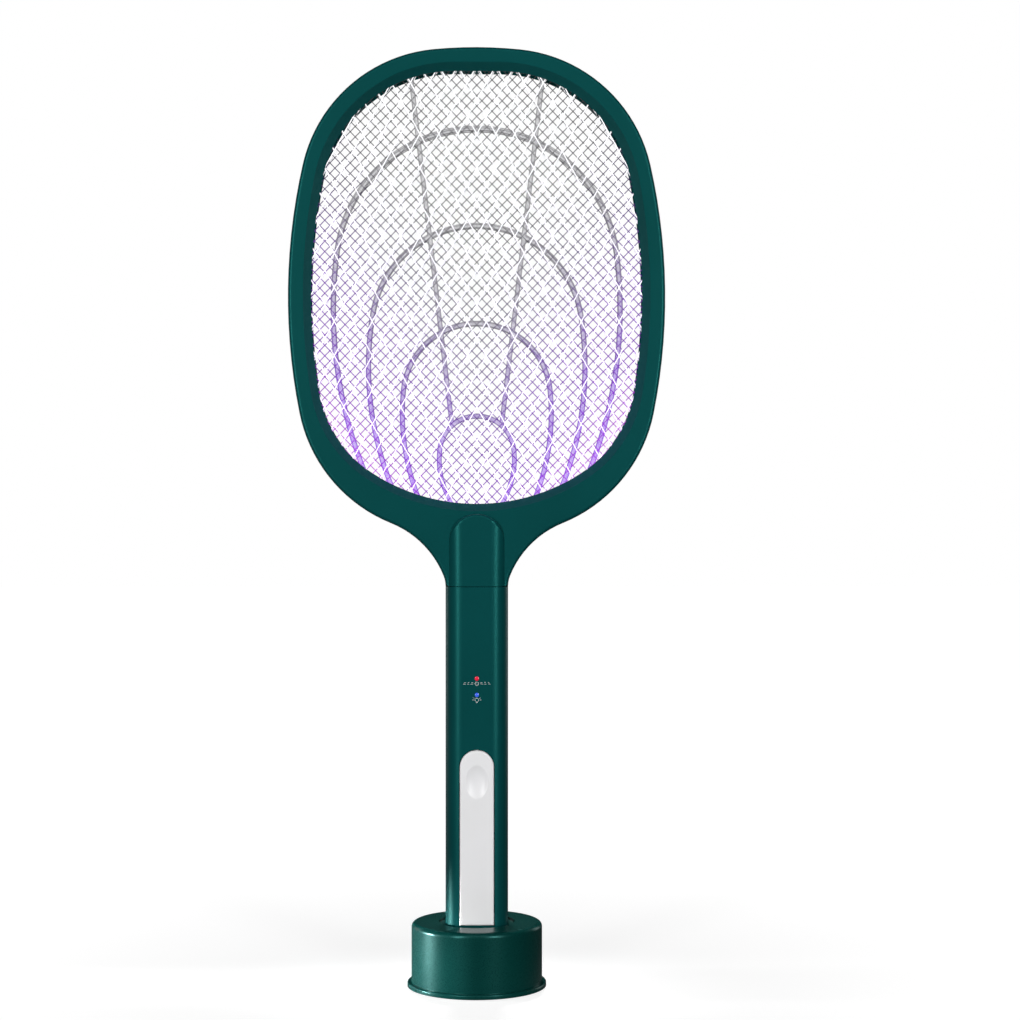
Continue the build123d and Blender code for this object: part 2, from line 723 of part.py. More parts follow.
with BuildSketch() as spacer_ring:
    add(widened_window(SEAT_WIDTH - SPACER_GAP))
    add(widened_window(SPACER_INSET), mode=Mode.SUBTRACT)


def rib_spacer():
    """The front rib frame: a flat ring that clamps the nets, joined by the curved ribs."""
    with BuildPart() as spacer:
        with BuildSketch(front_plane(grid_face)):
            add(spacer_ring.sketch)
        extrude(amount=grid_face - guard_back)
        with BuildSketch(front_plane(grid_face - RIB_SINK)):
            add(rib_outline.sketch)
        extrude(amount=grid_face - guard_back - RIB_SINK)
    return spacer.part


front_rib_spacer = rib_spacer()
front_rib_spacer.label = "front_rib_spacer"
export_step(front_rib_spacer, "parts/front_rib_spacer.step")

rear_rib_spacer = mirror(rib_spacer(), about=Plane.XZ)
rear_rib_spacer.label = "rear_rib_spacer"
export_step(rear_rib_spacer, "parts/rear_rib_spacer.step")

with BuildPart() as lamp_board:
    with Locations((0, 0, lamp_floor)):
        Box(
            LAMP_POCKET_WIDTH - 8.0,
            2 * LAMP_POCKET_HALF_DEPTH - 1.0,
            1.6,
            align=(Align.CENTER, Align.CENTER, Align.MIN),
        )
    with Locations((LEAD_SHIFT, 0, lamp_floor + 1.6)):
        Hole(LEAD_RADIUS + 0.2, depth=1.6)
lamp_board.part.label = "lamp_board"
export_step(lamp_board.part, "parts/lamp_board.step")

lamp_foot = lamp_floor + 1.6
lamp_xs = [(index - (LAMP_COUNT - 1) / 2) * LAMP_SPACING for index in range(LAMP_COUNT)]

with BuildPart() as uv_leds:
    with Locations(*[(x, 0, lamp_foot) for x in lamp_xs]):
        Cylinder(LAMP_RADIUS + 0.3, 0.8, align=(Align.CENTER, Align.CENTER, Align.MIN))
        Cylinder(LAMP_RADIUS, 2.4, align=(Align.CENTER, Align.CENTER, Align.MIN))
    with Locations(*[(x, 0, lamp_foot + 2.4) for x in lamp_xs]):
        Sphere(LAMP_RADIUS)
uv_leds.part.label = "uv_leds"
export_step(uv_leds.part, "parts/uv_leds.step")

with BuildPart() as lamp_window:
    with Locations((0, 0, lamp_foot + 4.4)):
        Box(
            LAMP_POCKET_WIDTH - 8.0,
            2 * LAMP_POCKET_HALF_DEPTH - 0.4,
            1.2,
            align=(Align.CENTER, Align.CENTER, Align.MIN),
        )
    with Locations((LEAD_SHIFT, 0, lamp_foot + 5.6)):
        Hole(LEAD_RADIUS + 0.2, depth=1.2)
lamp_window.part.label = "lamp_window"
export_step(lamp_window.part, "parts/lamp_window.step")


def rear_screw(x, z, head_y, length):
    """A screw driven in from the rear: its head ends at head_y and its shank points forwards."""
    with BuildPart() as screw:
        with BuildSketch(front_plane(head_y)):
            with Locations((x, z)):
                Circle(SCREW_HEAD_RADIUS)
        extrude(amount=SCREW_HEAD_DEPTH)
        with BuildSketch(front_plane(head_y - SCREW_HEAD_DEPTH)):
            with Locations((x, z)):
                Circle(SCREW_RADIUS)
        extrude(amount=length)
        with BuildSketch(front_plane(head_y)):
            with Locations((x, z)):
                Rectangle(2.6, 0.6)
                Rectangle(0.6, 2.6)
        extrude(amount=0.8, mode=Mode.SUBTRACT)
    return screw.part


head_screw_top = HEAD_HALF_DEPTH - 0.3
with BuildPart() as head_screws:
    for spot in boss_spots + neck_spots:
        add(rear_screw(spot[0], spot[1], head_screw_top, 12.0))
head_screws.part.label = "head_screws"
export_step(head_screws.part, "parts/head_screws.step")

# ======== Handle ========

key_face = -half_depth - KEY_PROUD
key_back = key_face + KEY_THICKNESS
pivot_z = KEY_BOTTOM + KEY_PIVOT_RISE
thumb_z = KEY_TOP - DIMPLE_DROP
ear_reach = half_width - 4.4
case_spots = [(-CASE_SCREW_X, CASE_SCREW_Z), (CASE_SCREW_X, CASE_SCREW_Z)]


def key_outline(grow):
    """The key seen from the front: square at the bottom and half round at the top."""
    radius = KEY_WIDTH / 2 + grow
    with BuildSketch() as outline:
        with Locations((0, KEY_BOTTOM - grow)):
            Rectangle(
                2 * radius,
                KEY_TOP - KEY_BOTTOM - KEY_WIDTH / 2 + grow,
                align=(Align.CENTER, Align.MIN),
            )
        with Locations((0, KEY_TOP - KEY_WIDTH / 2)):
            Circle(radius)
    return outline.sketch


def handle_tube():
    """The whole rounded tube of the handle, before it is cut into its front and rear shells."""
    with BuildPart() as tube:
        with BuildSketch(Plane.XY.offset(shell_bottom)):
            handle_section(0.0)
        extrude(amount=HANDLE_TOP - shell_bottom)
        with BuildSketch(Plane.XY.offset(shell_bottom)):
            handle_section(HANDLE_WALL)
        extrude(amount=HANDLE_TOP - shell_bottom, mode=Mode.SUBTRACT)
    return tube.part


def handle_core():
    """The solid inside of the handle's outline, which keeps bosses and ears within the shell."""
    with BuildPart() as core:
        with BuildSketch(Plane.XY.offset(shell_bottom)):
            handle_section(HANDLE_WALL / 2)
        extrude(amount=HANDLE_TOP - shell_bottom)
    return core.part


def inner_blocks(front):
    """Bosses, posts, saddles and ears of one shell, trimmed to the handle's outline."""
    side = -1 if front else 1
    with BuildPart() as blocks:
        with BuildSketch(Plane.XZ):
            with Locations(*case_spots):
                Circle(2.4)
        extrude(amount=-side * inner_half_depth - side * 1.0)
        if front:
            with Locations((0, -KEY_PIVOT_DEPTH, pivot_z)):
                Box(2 * ear_reach, 3.4, 4.4)
            for spot in tenon_spots:
                with BuildSketch(front_plane(-TENON_HALF_DEPTH - 0.1)):
                    with Locations(spot):
                        Circle(2.6)
                extrude(amount=4.0)
        else:
            for post_z in (BOARD_BOTTOM + POST_INSET, board_top - POST_INSET):
                with BuildSketch(front_plane(inner_half_depth + 1.0)):
                    with Locations((-POST_X, post_z), (POST_X, post_z)):
                        Circle(2.3)
                extrude(amount=inner_half_depth + 1.0 - board_back)
            for spot in tenon_spots:
                with BuildSketch(front_plane(inner_half_depth + 1.0)):
                    with Locations(spot):
                        Circle(2.6)
                extrude(amount=inner_half_depth + 1.0 - TENON_HALF_DEPTH - 0.1)
            for saddle_z in (CELL_BOTTOM + 8.0, CELL_BOTTOM + CELL_LENGTH - 8.0):
                with Locations((0, inner_half_depth - 1.5, saddle_z)):
                    Box(18.0, 5.0, 2.0)
                with Locations((0, CELL_BACK_SHIFT, saddle_z)):
                    Cylinder(CELL_RADIUS + 0.1, 4.0, mode=Mode.SUBTRACT)
        add(handle_core(), mode=Mode.INTERSECT)
    return blocks.part


with BuildPart() as handle_front_shell:
    add(handle_tube())
    split(bisect_by=Plane.XZ, keep=Keep.TOP)
    add(inner_blocks(True))
    with BuildSketch(front_plane(0)):
        add(key_outline(KEY_GAP))
    extrude(amount=HANDLE_DEPTH, mode=Mode.SUBTRACT)
    with Locations(Location((0, -KEY_PIVOT_DEPTH, pivot_z), (0, 90, 0))):
        Cylinder(PIVOT_RADIUS + 0.02, 2 * ear_reach - 0.8, mode=Mode.SUBTRACT)
    with BuildSketch(front_plane(0)):
        with Locations((0, red_light_z), (0, blue_light_z)):
            Circle(LIGHT_RADIUS + 0.05)
    extrude(amount=HANDLE_DEPTH, mode=Mode.SUBTRACT)
    with BuildSketch(front_plane(0)):
        with Locations(*case_spots, *tenon_spots):
            Circle(SCREW_RADIUS + SCREW_GAP)
    extrude(amount=inner_half_depth - 0.4, mode=Mode.SUBTRACT)
handle_front_shell.part.label = "handle_front_shell"
export_step(handle_front_shell.part, "parts/handle_front_shell.step")

slider_slot_half = 4.5 + SLIDER_TRAVEL + 0.3
case_head_floor = half_depth - 3.4
with BuildPart() as handle_rear_shell:
    add(handle_tube())
    split(bisect_by=Plane.XZ, keep=Keep.BOTTOM)
    add(inner_blocks(False))
    with BuildSketch(front_plane(HANDLE_DEPTH)):
        with Locations(*case_spots, *tenon_spots):
            Circle(SCREW_RADIUS + SCREW_GAP)
    extrude(amount=HANDLE_DEPTH, mode=Mode.SUBTRACT)
    with BuildSketch(front_plane(HANDLE_DEPTH)):
        with Locations(*case_spots, *tenon_spots):
            Circle(SCREW_HEAD_RADIUS + 0.15)
    extrude(amount=HANDLE_DEPTH - case_head_floor, mode=Mode.SUBTRACT)
    with BuildSketch(front_plane(HANDLE_DEPTH)):
        with Locations((0, slider_z)):
            RectangleRounded(6.6, 2 * slider_slot_half, 1.0)
    extrude(amount=HANDLE_DEPTH, mode=Mode.SUBTRACT)
    with BuildSketch(front_plane(board_back)):
        with Locations(
            *[(x, BOARD_BOTTOM + POST_INSET) for x in (-POST_X, POST_X)],
            *[(x, board_top - POST_INSET) for x in (-POST_X, POST_X)],
        ):
            Circle(SCREW_RADIUS + SCREW_GAP)
    extrude(amount=-6.0, mode=Mode.SUBTRACT)
handle_rear_shell.part.label = "handle_rear_shell"
export_step(handle_rear_shell.part, "parts/handle_rear_shell.step")

with BuildPart() as handle_end_cap:
    with BuildSketch(Plane.XY.offset(handle_bottom)):
        handle_section(0.0)
    extrude(amount=CAP_THICKNESS - 0.05)
    with BuildSketch(Plane.XY.offset(handle_bottom + CAP_THICKNESS - 0.05)):
        handle_section(HANDLE_WALL + 0.15)
    extrude(amount=CAP_PLUG)
    with BuildSketch(Plane.XY.offset(handle_bottom + CAP_THICKNESS)):
        handle_section(HANDLE_WALL + 1.6)
    extrude(amount=CAP_PLUG, mode=Mode.SUBTRACT)
    with Locations((-PIN_SPACING / 2, 0, handle_bottom), (PIN_SPACING / 2, 0, handle_bottom)):
        Cylinder(
            PAD_RADIUS + 0.05,
            PAD_THICKNESS,
            align=(Align.CENTER, Align.CENTER, Align.MIN),
            mode=Mode.SUBTRACT,
        )
handle_end_cap.part.label = "handle_end_cap"
export_step(handle_end_cap.part, "parts/handle_end_cap.step")

with BuildPart() as charge_pads:
    with Locations((-PIN_SPACING / 2, 0, handle_bottom), (PIN_SPACING / 2, 0, handle_bottom)):
        Cylinder(PAD_RADIUS, PAD_THICKNESS, align=(Align.CENTER, Align.CENTER, Align.MIN))
charge_pads.part.label = "charge_pads"
export_step(charge_pads.part, "parts/charge_pads.step")

with BuildPart() as handle_screws:
    for spot in case_spots + tenon_spots:
        add(rear_screw(spot[0], spot[1], case_head_floor + SCREW_HEAD_DEPTH, 16.0))
handle_screws.part.label = "handle_screws"
export_step(handle_screws.part, "parts/handle_screws.step")

# ======== Electronics in the handle ========

with BuildPart() as main_board:
    with BuildSketch(front_plane(board_back)):
        with Locations((0, (BOARD_BOTTOM + board_top) / 2)):
            Rectangle(BOARD_WIDTH, board_top - BOARD_BOTTOM)
        with Locations(
            *[(x, BOARD_BOTTOM + POST_INSET) for x in (-POST_X, POST_X)],
            *[(x, board_top - POST_INSET) for x in (-POST_X, POST_X)],
        ):
            Circle(SCREW_RADIUS + 0.1, mode=Mode.SUBTRACT)
    extrude(amount=BOARD_THICKNESS)
main_board.part.label = "main_board"
export_step(main_board.part, "parts/main_board.step")

with BuildPart() as board_screws:
    for post_z in (BOARD_BOTTOM + POST_INSET, board_top - POST_INSET):
        for post_x in (-POST_X, POST_X):
            with BuildSketch(front_plane(BOARD_FACE)):
                with Locations((post_x, post_z)):
                    Circle(SCREW_HEAD_RADIUS - 0.2)
            extrude(amount=1.2)
            with BuildSketch(front_plane(BOARD_FACE)):
                with Locations((post_x, post_z)):
                    Circle(SCREW_RADIUS)
            extrude(amount=-7.0)
board_screws.part.label = "board_screws"
export_step(board_screws.part, "parts/board_screws.step")

with BuildPart() as board_components:
    with BuildSketch(front_plane(BOARD_FACE)):
        with Locations((0, board_top - 63.0)):
            Rectangle(9.0, 6.0)
        with Locations((-7.0, board_top - 50.0), (7.0, board_top - 50.0)):
            Rectangle(3.0, 7.0)
        with Locations(
            (-8.0, BOARD_BOTTOM + 17.0),
            (0, BOARD_BOTTOM + 13.0),
            (8.0, BOARD_BOTTOM + 17.0),
        ):
            Rectangle(4.0, 2.4)
    extrude(amount=1.8)
    with BuildSketch(front_plane(BOARD_FACE)):
        with Locations((0, red_light_z), (0, blue_light_z)):
            Circle(1.5)
    extrude(amount=4.0)
board_components.part.label = "board_components"
export_step(board_components.part, "parts/board_components.step")

with BuildPart() as hv_transformer:
    with BuildSketch(front_plane(BOARD_FACE)):
        with Locations((-5.6, board_top - 16.0)):
            RectangleRounded(12.0, 14.0, 0.8)
    extrude(amount=9.0)
    with BuildSketch(front_plane(BOARD_FACE - 1.2)):
        with Locations((-5.6, board_top - 16.0)):
            Rectangle(13.0, 8.0)
    extrude(amount=6.4)
hv_transformer.part.label = "hv_transformer"
export_step(hv_transformer.part, "parts/hv_transformer.step")

with BuildPart() as hv_capacitors:
    with BuildSketch(front_plane(BOARD_FACE)):
        with Locations((6.2, board_top - 20.0), (6.2, board_top - 12.0)):
            RectangleRounded(10.0, 5.4, 2.0)
    extrude(amount=8.0)
hv_capacitors.part.label = "hv_capacitors"
export_step(hv_capacitors.part, "parts/hv_capacitors.step")

with BuildPart() as battery_cell:
    with Locations((0, CELL_BACK_SHIFT, CELL_BOTTOM)):
        Cylinder(CELL_RADIUS, CELL_LENGTH - 1.2, align=(Align.CENTER, Align.CENTER, Align.MIN))
        Cylinder(2.6, CELL_LENGTH, align=(Align.CENTER, Align.CENTER, Align.MIN))
battery_cell.part.label = "battery_cell"
export_step(battery_cell.part, "parts/battery_cell.step")

with BuildPart() as battery_clips:
    with Locations(
        (0, CELL_BACK_SHIFT, CELL_BOTTOM - 0.3),
        (0, CELL_BACK_SHIFT, CELL_BOTTOM + CELL_LENGTH + 0.3),
    ):
        Box(12.0, 11.0, 0.6)
battery_clips.part.label = "battery_clips"
export_step(battery_clips.part, "parts/battery_clips.step")

pipe_back = BOARD_FACE - 4.2
with BuildPart() as red_light_pipe:
    with BuildSketch(front_plane(pipe_back)):
        with Locations((0, red_light_z)):
            Circle(LIGHT_RADIUS)
    extrude(amount=half_depth + 0.2 + pipe_back)
red_light_pipe.part.label = "red_light_pipe"
export_step(red_light_pipe.part, "parts/red_light_pipe.step")

with BuildPart() as blue_light_pipe:
    with BuildSketch(front_plane(pipe_back)):
        with Locations((0, blue_light_z)):
            Circle(LIGHT_RADIUS)
    extrude(amount=half_depth + 0.2 + pipe_back)
blue_light_pipe.part.label = "blue_light_pipe"
export_step(blue_light_pipe.part, "parts/blue_light_pipe.step")

switch_face = BOARD_FACE - 5.0
stem_tip = key_back + 4.2
with BuildPart() as key_switch:
    with BuildSketch(front_plane(BOARD_FACE)):
        with Locations((0, thumb_z)):
            RectangleRounded(7.0, 7.0, 0.5)
    extrude(amount=BOARD_FACE - switch_face)
    with BuildSketch(front_plane(switch_face)):
        with Locations((0, thumb_z)):
            Circle(STEM_RADIUS + STEM_GAP)
    extrude(amount=-3.2, mode=Mode.SUBTRACT)
key_switch.part.label = "key_switch"
export_step(key_switch.part, "parts/key_switch.step")

with BuildPart() as switch_stem:
    with BuildSketch(front_plane(switch_face + 3.0 - STEM_TRAVEL)):
        with Locations((0, thumb_z)):
            Circle(STEM_RADIUS)
    extrude(amount=switch_face + 3.0 - STEM_TRAVEL - stem_tip)
switch_stem.part.label = "switch_stem"
export_step(switch_stem.part, "parts/switch_stem.step")

# ======== Trigger key ========

with BuildPart() as press_key:
    with BuildSketch(front_plane(key_back)):
        add(key_outline(0.0))
    extrude(amount=KEY_THICKNESS)
    rim_edges = press_key.faces().sort_by(Axis.Y)[0].edges()
    fillet(rim_edges, radius=KEY_EDGE)
    with BuildSketch(front_plane(key_face)):
        with Locations((0, thumb_z)):
            Ellipse(DIMPLE_WIDTH / 2, DIMPLE_HEIGHT / 2)
    extrude(amount=-DIMPLE_DEPTH, mode=Mode.SUBTRACT)
    dimple_floor = press_key.faces().filter_by(
        lambda face: abs(face.center().Y - key_face - DIMPLE_DEPTH) < 0.01
    )
    fillet(dimple_floor.edges(), radius=DIMPLE_DEPTH - 0.15)
    with Locations((0, (key_back - KEY_PIVOT_DEPTH + 1.7) / 2, pivot_z)):
        Box(KEY_WIDTH - 2.0, KEY_PIVOT_DEPTH * -1 + 1.7 - key_back + 0.4, 4.0)
    with Locations(Location((0, -KEY_PIVOT_DEPTH, pivot_z), (0, 90, 0))):
        Cylinder(PIVOT_RADIUS + 0.04, KEY_WIDTH, mode=Mode.SUBTRACT)
    with BuildSketch(front_plane(stem_tip - 0.1)):
        with Locations((0, thumb_z)):
            Circle(2.2)
    extrude(amount=stem_tip - 0.1 - key_back + 0.4)
press_key.part.label = "press_key"
export_step(press_key.part, "parts/press_key.step")

with BuildPart() as key_pivot_pin:
    with Locations(Location((0, -KEY_PIVOT_DEPTH, pivot_z), (0, 90, 0))):
        Cylinder(PIVOT_RADIUS, 2 * ear_reach - 1.0)
key_pivot_pin.part.label = "key_pivot_pin"
export_step(key_pivot_pin.part, "parts/key_pivot_pin.step")

# ======== Mode switch on the rear ========

with BuildPart() as mode_switch:
    with BuildSketch(front_plane(board_back + 5.0)):
        with Locations((0, slider_z)):
            Rectangle(8.0, 18.0)
    extrude(amount=5.0)
    with BuildSketch(front_plane(board_back + 5.0)):
        with Locations((0, slider_z)):
            Rectangle(3.3, 2 * (2.0 + SLIDER_TRAVEL + 0.2))
    extrude(amount=2.8, mode=Mode.SUBTRACT)
mode_switch.part.label = "mode_switch"
export_step(mode_switch.part, "parts/mode_switch.step")

with BuildPart() as mode_slider:
    with BuildSketch(front_plane(board_back + 5.4)):
        with Locations((0, slider_z)):
            Rectangle(3.0, 4.0)
    extrude(amount=3.0)
    with BuildSketch(front_plane(board_back + 7.2)):
        with Locations((0, slider_z)):
            Rectangle(9.0, 14.0)
    extrude(amount=1.8)
    with BuildSketch(front_plane(half_depth + 0.9)):
        with Locations((0, slider_z)):
            RectangleRounded(6.0, 9.0, 0.8)
    extrude(amount=half_depth + 0.9 - board_back - 7.2)
mode_slider.part.label = "mode_slider"
export_step(mode_slider.part, "parts/mode_slider.step")

# ======== Leads from the handle up to the lamp and the net ========

lead_bottom = board_top - 2.0
with BuildPart() as grid_leads:
    with Locations((-LEAD_SHIFT, 0, lead_bottom)):
        Cylinder(
            LEAD_RADIUS,
            lamp_floor - lead_bottom,
            align=(Align.CENTER, Align.CENTER, Align.MIN),
        )
    with Locations((LEAD_SHIFT, 0, lead_bottom)):
        Cylinder(
            LEAD_RADIUS,
            window_bottom - WIRE_SEAT - 0.5 - lead_bottom,
            align=(Align.CENTER, Align.CENTER, Align.MIN),
        )
grid_leads.part.label = "grid_leads"
export_step(grid_leads.part, "parts/grid_leads.step")
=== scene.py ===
import bpy
import bmesh
import math
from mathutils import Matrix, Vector


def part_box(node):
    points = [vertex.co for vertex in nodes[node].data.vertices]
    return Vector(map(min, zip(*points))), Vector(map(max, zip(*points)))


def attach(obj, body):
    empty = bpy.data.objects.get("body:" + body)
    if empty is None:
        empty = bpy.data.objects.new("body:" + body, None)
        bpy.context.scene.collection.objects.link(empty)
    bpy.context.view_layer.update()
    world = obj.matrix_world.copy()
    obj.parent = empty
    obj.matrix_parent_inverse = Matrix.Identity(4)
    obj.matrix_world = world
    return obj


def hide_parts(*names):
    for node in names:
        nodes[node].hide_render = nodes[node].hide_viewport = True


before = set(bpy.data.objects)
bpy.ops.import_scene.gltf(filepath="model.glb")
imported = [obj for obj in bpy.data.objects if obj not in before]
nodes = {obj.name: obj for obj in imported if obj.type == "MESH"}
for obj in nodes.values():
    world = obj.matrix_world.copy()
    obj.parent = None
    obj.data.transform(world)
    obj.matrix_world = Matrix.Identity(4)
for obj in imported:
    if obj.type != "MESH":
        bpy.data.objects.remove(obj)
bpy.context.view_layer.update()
print("frame loaded,", len(nodes), "parts")


# small helpers

def linear(red, green, blue):  # screen colour 0-255 to the renderer's own scale
    def one(value):
        value = value / 255
        return value / 12.92 if value <= 0.04045 else ((value + 0.055) / 1.055) ** 2.4
    return (one(red), one(green), one(blue), 1.0)


def newPiece(name, mesh, body, slotName, *stands):
    piece = bpy.data.objects.new(name, mesh)
    bpy.context.scene.collection.objects.link(piece)
    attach(piece, body)
    if stands:
        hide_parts(*stands)
    return piece


def meshFrom(name, points, faces, smooth=True):
    mesh = bpy.data.meshes.new(name)
    mesh.from_pydata(points, [], faces)
    mesh.validate()
    if smooth:
        mesh.polygons.foreach_set("use_smooth", [True] * len(mesh.polygons))
    mesh.update()
    return mesh


def dress(piece, material):
    piece.data.materials.clear()
    piece.data.materials.append(material)


# materials

class Recipe:  # one node tree, with short calls to add and join its nodes
    def __init__(self, name):
        self.material = bpy.data.materials.new(name)
        self.material.use_nodes = True
        self.tree = self.material.node_tree
        self.tree.nodes.clear()
        self.out = self.tree.nodes.new("ShaderNodeOutputMaterial")
        self.shader = self.tree.nodes.new("ShaderNodeBsdfPrincipled")
        self.join(self.shader.outputs[0], self.out.inputs["Surface"])
        self.coords = self.tree.nodes.new("ShaderNodeTexCoord").outputs["Object"]

    def add(self, kind, **settings):
        node = self.tree.nodes.new(kind)
        for key, value in settings.items():
            setattr(node, key, value)
        return node

    def join(self, source, target):
        self.tree.links.new(source, target)

    def noise(self, scale, detail=3.0, stretch=(1, 1, 1)):
        mapping = self.add("ShaderNodeMapping")
        mapping.inputs["Scale"].default_value = stretch
        self.join(self.coords, mapping.inputs["Vector"])
        texture = self.add("ShaderNodeTexNoise")
        texture.inputs["Scale"].default_value = scale
        texture.inputs["Detail"].default_value = detail
        self.join(mapping.outputs[0], texture.inputs["Vector"])
        return texture.outputs["Fac"]

    def ramp(self, value, stops):
        node = self.add("ShaderNodeValToRGB")
        ramp = node.color_ramp
        while len(ramp.elements) < len(stops):
            ramp.elements.new(0.5)
        for element, (place, colour) in zip(ramp.elements, stops):
            element.position = place
            element.color = colour
        self.join(value, node.inputs["Fac"])
        return node.outputs["Color"]

    def span(self, value, low, high, toLow=0.0, toHigh=1.0):
        node = self.add("ShaderNodeMapRange")
        node.inputs["From Min"].default_value = low
        node.inputs["From Max"].default_value = high
        node.inputs["To Min"].default_value = toLow
        node.inputs["To Max"].default_value = toHigh
        self.join(value, node.inputs["Value"])
        return node.outputs[0]

    def axis(self, letter):
        node = self.add("ShaderNodeSeparateXYZ")
        self.join(self.coords, node.inputs[0])
        return node.outputs[letter]

    def bump(self, height, distance, strength=0.5):
        node = self.add("ShaderNodeBump")
        node.inputs["Distance"].default_value = distance
        node.inputs["Strength"].default_value = strength
        self.join(height, node.inputs["Height"])
        self.join(node.outputs[0], self.shader.inputs["Normal"])

    def setValues(self, **values):
        for key, value in values.items():
            self.shader.inputs[key.replace("_", " ")].default_value = value


def plasticMaterial(name, look):
    recipe = Recipe(name)
    recipe.setValues(Metallic=0.0, IOR=look.get("ior", 1.46))
    recipe.setValues(Specular_IOR_Level=look.get("specular", 0.5))
    recipe.setValues(Specular_Tint=look.get("sheenTint", (1, 1, 1, 1)))
    cloud = recipe.noise(look["cloudScale"], 2.0)
    recipe.join(
        recipe.ramp(cloud, [(0.3, look["dark"]), (0.7, look["light"])]),
        recipe.shader.inputs["Base Color"],
    )
    grain = recipe.noise(look["grainScale"], 4.0)
    rough = recipe.span(grain, 0.3, 0.7, look["roughLow"], look["roughHigh"])
    recipe.join(rough, recipe.shader.inputs["Roughness"])
    recipe.bump(grain, look["grainDepth"], look.get("grainStrength", 0.35))
    return recipe.material


def metalMaterial(name, look):
    recipe = Recipe(name)
    recipe.setValues(Metallic=look.get("metallic", 1.0))
    streak = recipe.noise(look["streakScale"], 3.0, look.get("stretch", (1, 1, 1)))
    recipe.join(
        recipe.ramp(streak, [(0.3, look["dark"]), (0.7, look["light"])]),
        recipe.shader.inputs["Base Color"],
    )
    rough = recipe.span(streak, 0.3, 0.7, look["roughLow"], look["roughHigh"])
    recipe.join(rough, recipe.shader.inputs["Roughness"])
    recipe.bump(streak, look["depth"], 0.3)
    return recipe.material


def paintedLampGlowMaterial(name, look):  # painted lamp light: base colour and emission follow height in the head, violet and glowing low down where the violet lamps sit, greyer and darker higher up and towards the sides
    recipe = Recipe(name)
    height = recipe.axis("Z")
    side = recipe.axis("X")
    wobble = recipe.noise(look["cloudScale"], 2.0)
    wobbled = recipe.add("ShaderNodeMath", operation="MULTIPLY_ADD")
    recipe.join(wobble, wobbled.inputs[0])
    wobbled.inputs[1].default_value = look["wobble"]
    recipe.join(height, wobbled.inputs[2])
    reach = recipe.add("ShaderNodeMath", operation="ABSOLUTE")
    recipe.join(side, reach.inputs[0])
    lean = recipe.add("ShaderNodeMath", operation="MULTIPLY_ADD")
    recipe.join(reach.outputs[0], lean.inputs[0])
    lean.inputs[1].default_value = -look["edgePull"]
    recipe.join(wobbled.outputs[0], lean.inputs[2])
    place = recipe.span(lean.outputs[0], look["bottom"], look["top"])
    recipe.place = place
    # painted violet tint and glow: these colour and emission ramps by height stand in for the lamps'
    # light
    colour = recipe.ramp(place, look["stops"])
    recipe.join(colour, recipe.shader.inputs["Base Color"])
    glow = recipe.ramp(place, look["glow"])
    recipe.join(glow, recipe.shader.inputs["Emission Color"])
    recipe.setValues(Emission_Strength=look["glowStrength"], Metallic=look.get("metallic", 0.0))
    grain = recipe.noise(look["grainScale"], 3.0)
    rough = recipe.span(grain, 0.3, 0.7, look["roughLow"], look["roughHigh"])
    recipe.join(rough, recipe.shader.inputs["Roughness"])
    recipe.bump(grain, look["grainDepth"], 0.4)
    return recipe


shellLook = {
    "dark": linear(4, 61, 62), "light": linear(5, 66, 67), "cloudScale": 18.0,
    "grainScale": 2600.0, "grainDepth": 0.00003, "roughLow": 0.30, "roughHigh": 0.40,
    "specular": 0.45, "sheenTint": (0.12, 0.9, 0.82, 1),
}
dockLook = {
    "dark": linear(3, 50, 47), "light": linear(4, 56, 52), "cloudScale": 22.0,
    "grainScale": 2600.0, "grainDepth": 0.00003, "roughLow": 0.24, "roughHigh": 0.34,
    "specular": 0.5, "sheenTint": (0.25, 0.9, 0.85, 1),
}
keyLook = {
    "dark": linear(240, 240, 241), "light": linear(245, 245, 247), "cloudScale": 30.0,
    "grainScale": 3000.0, "grainDepth": 0.00002, "roughLow": 0.28, "roughHigh": 0.36,
}
blackLook = {
    "dark": linear(20, 20, 21), "light": linear(32, 32, 33), "cloudScale": 120.0,
    "grainScale": 3500.0, "grainDepth": 0.00004, "roughLow": 0.5, "roughHigh": 0.65,
}
rubberLook = {
    "dark": linear(18, 18, 18), "light": linear(30, 30, 30), "cloudScale": 90.0,
    "grainScale": 1800.0, "grainDepth": 0.00008, "roughLow": 0.7, "roughHigh": 0.9,
}
boardLook = {
    "dark": linear(14, 74, 40), "light": linear(26, 96, 52), "cloudScale": 400.0,
    "grainScale": 2200.0, "grainDepth": 0.00003, "roughLow": 0.3, "roughHigh": 0.5,
}
tapeLook = {
    "dark": linear(186, 148, 40), "light": linear(214, 176, 60), "cloudScale": 160.0,
    "grainScale": 900.0, "grainDepth": 0.00006, "roughLow": 0.35, "roughHigh": 0.55,
}
capacitorLook = {
    "dark": linear(120, 30, 18), "light": linear(150, 44, 26), "cloudScale": 220.0,
    "grainScale": 1200.0, "grainDepth": 0.00005, "roughLow": 0.2, "roughHigh": 0.35,
}
cellLook = {
    "dark": linear(30, 66, 130), "light": linear(42, 84, 150), "cloudScale": 60.0,
    "grainScale": 1500.0, "grainDepth": 0.00002, "roughLow": 0.2, "roughHigh": 0.3,
}
leadLook = {
    "dark": linear(140, 16, 12), "light": linear(170, 26, 20), "cloudScale": 200.0,
    "grainScale": 1600.0, "grainDepth": 0.00004, "roughLow": 0.45, "roughHigh": 0.6,
}
printLook = {
    "dark": linear(196, 204, 204), "light": linear(214, 220, 220), "cloudScale": 900.0,
    "grainScale": 3000.0, "grainDepth": 0.00001, "roughLow": 0.5, "roughHigh": 0.6,
}
screwLook = {
    "dark": linear(132, 132, 136), "light": linear(172, 172, 176), "streakScale": 500.0,
    "depth": 0.00003, "roughLow": 0.25, "roughHigh": 0.4,
}
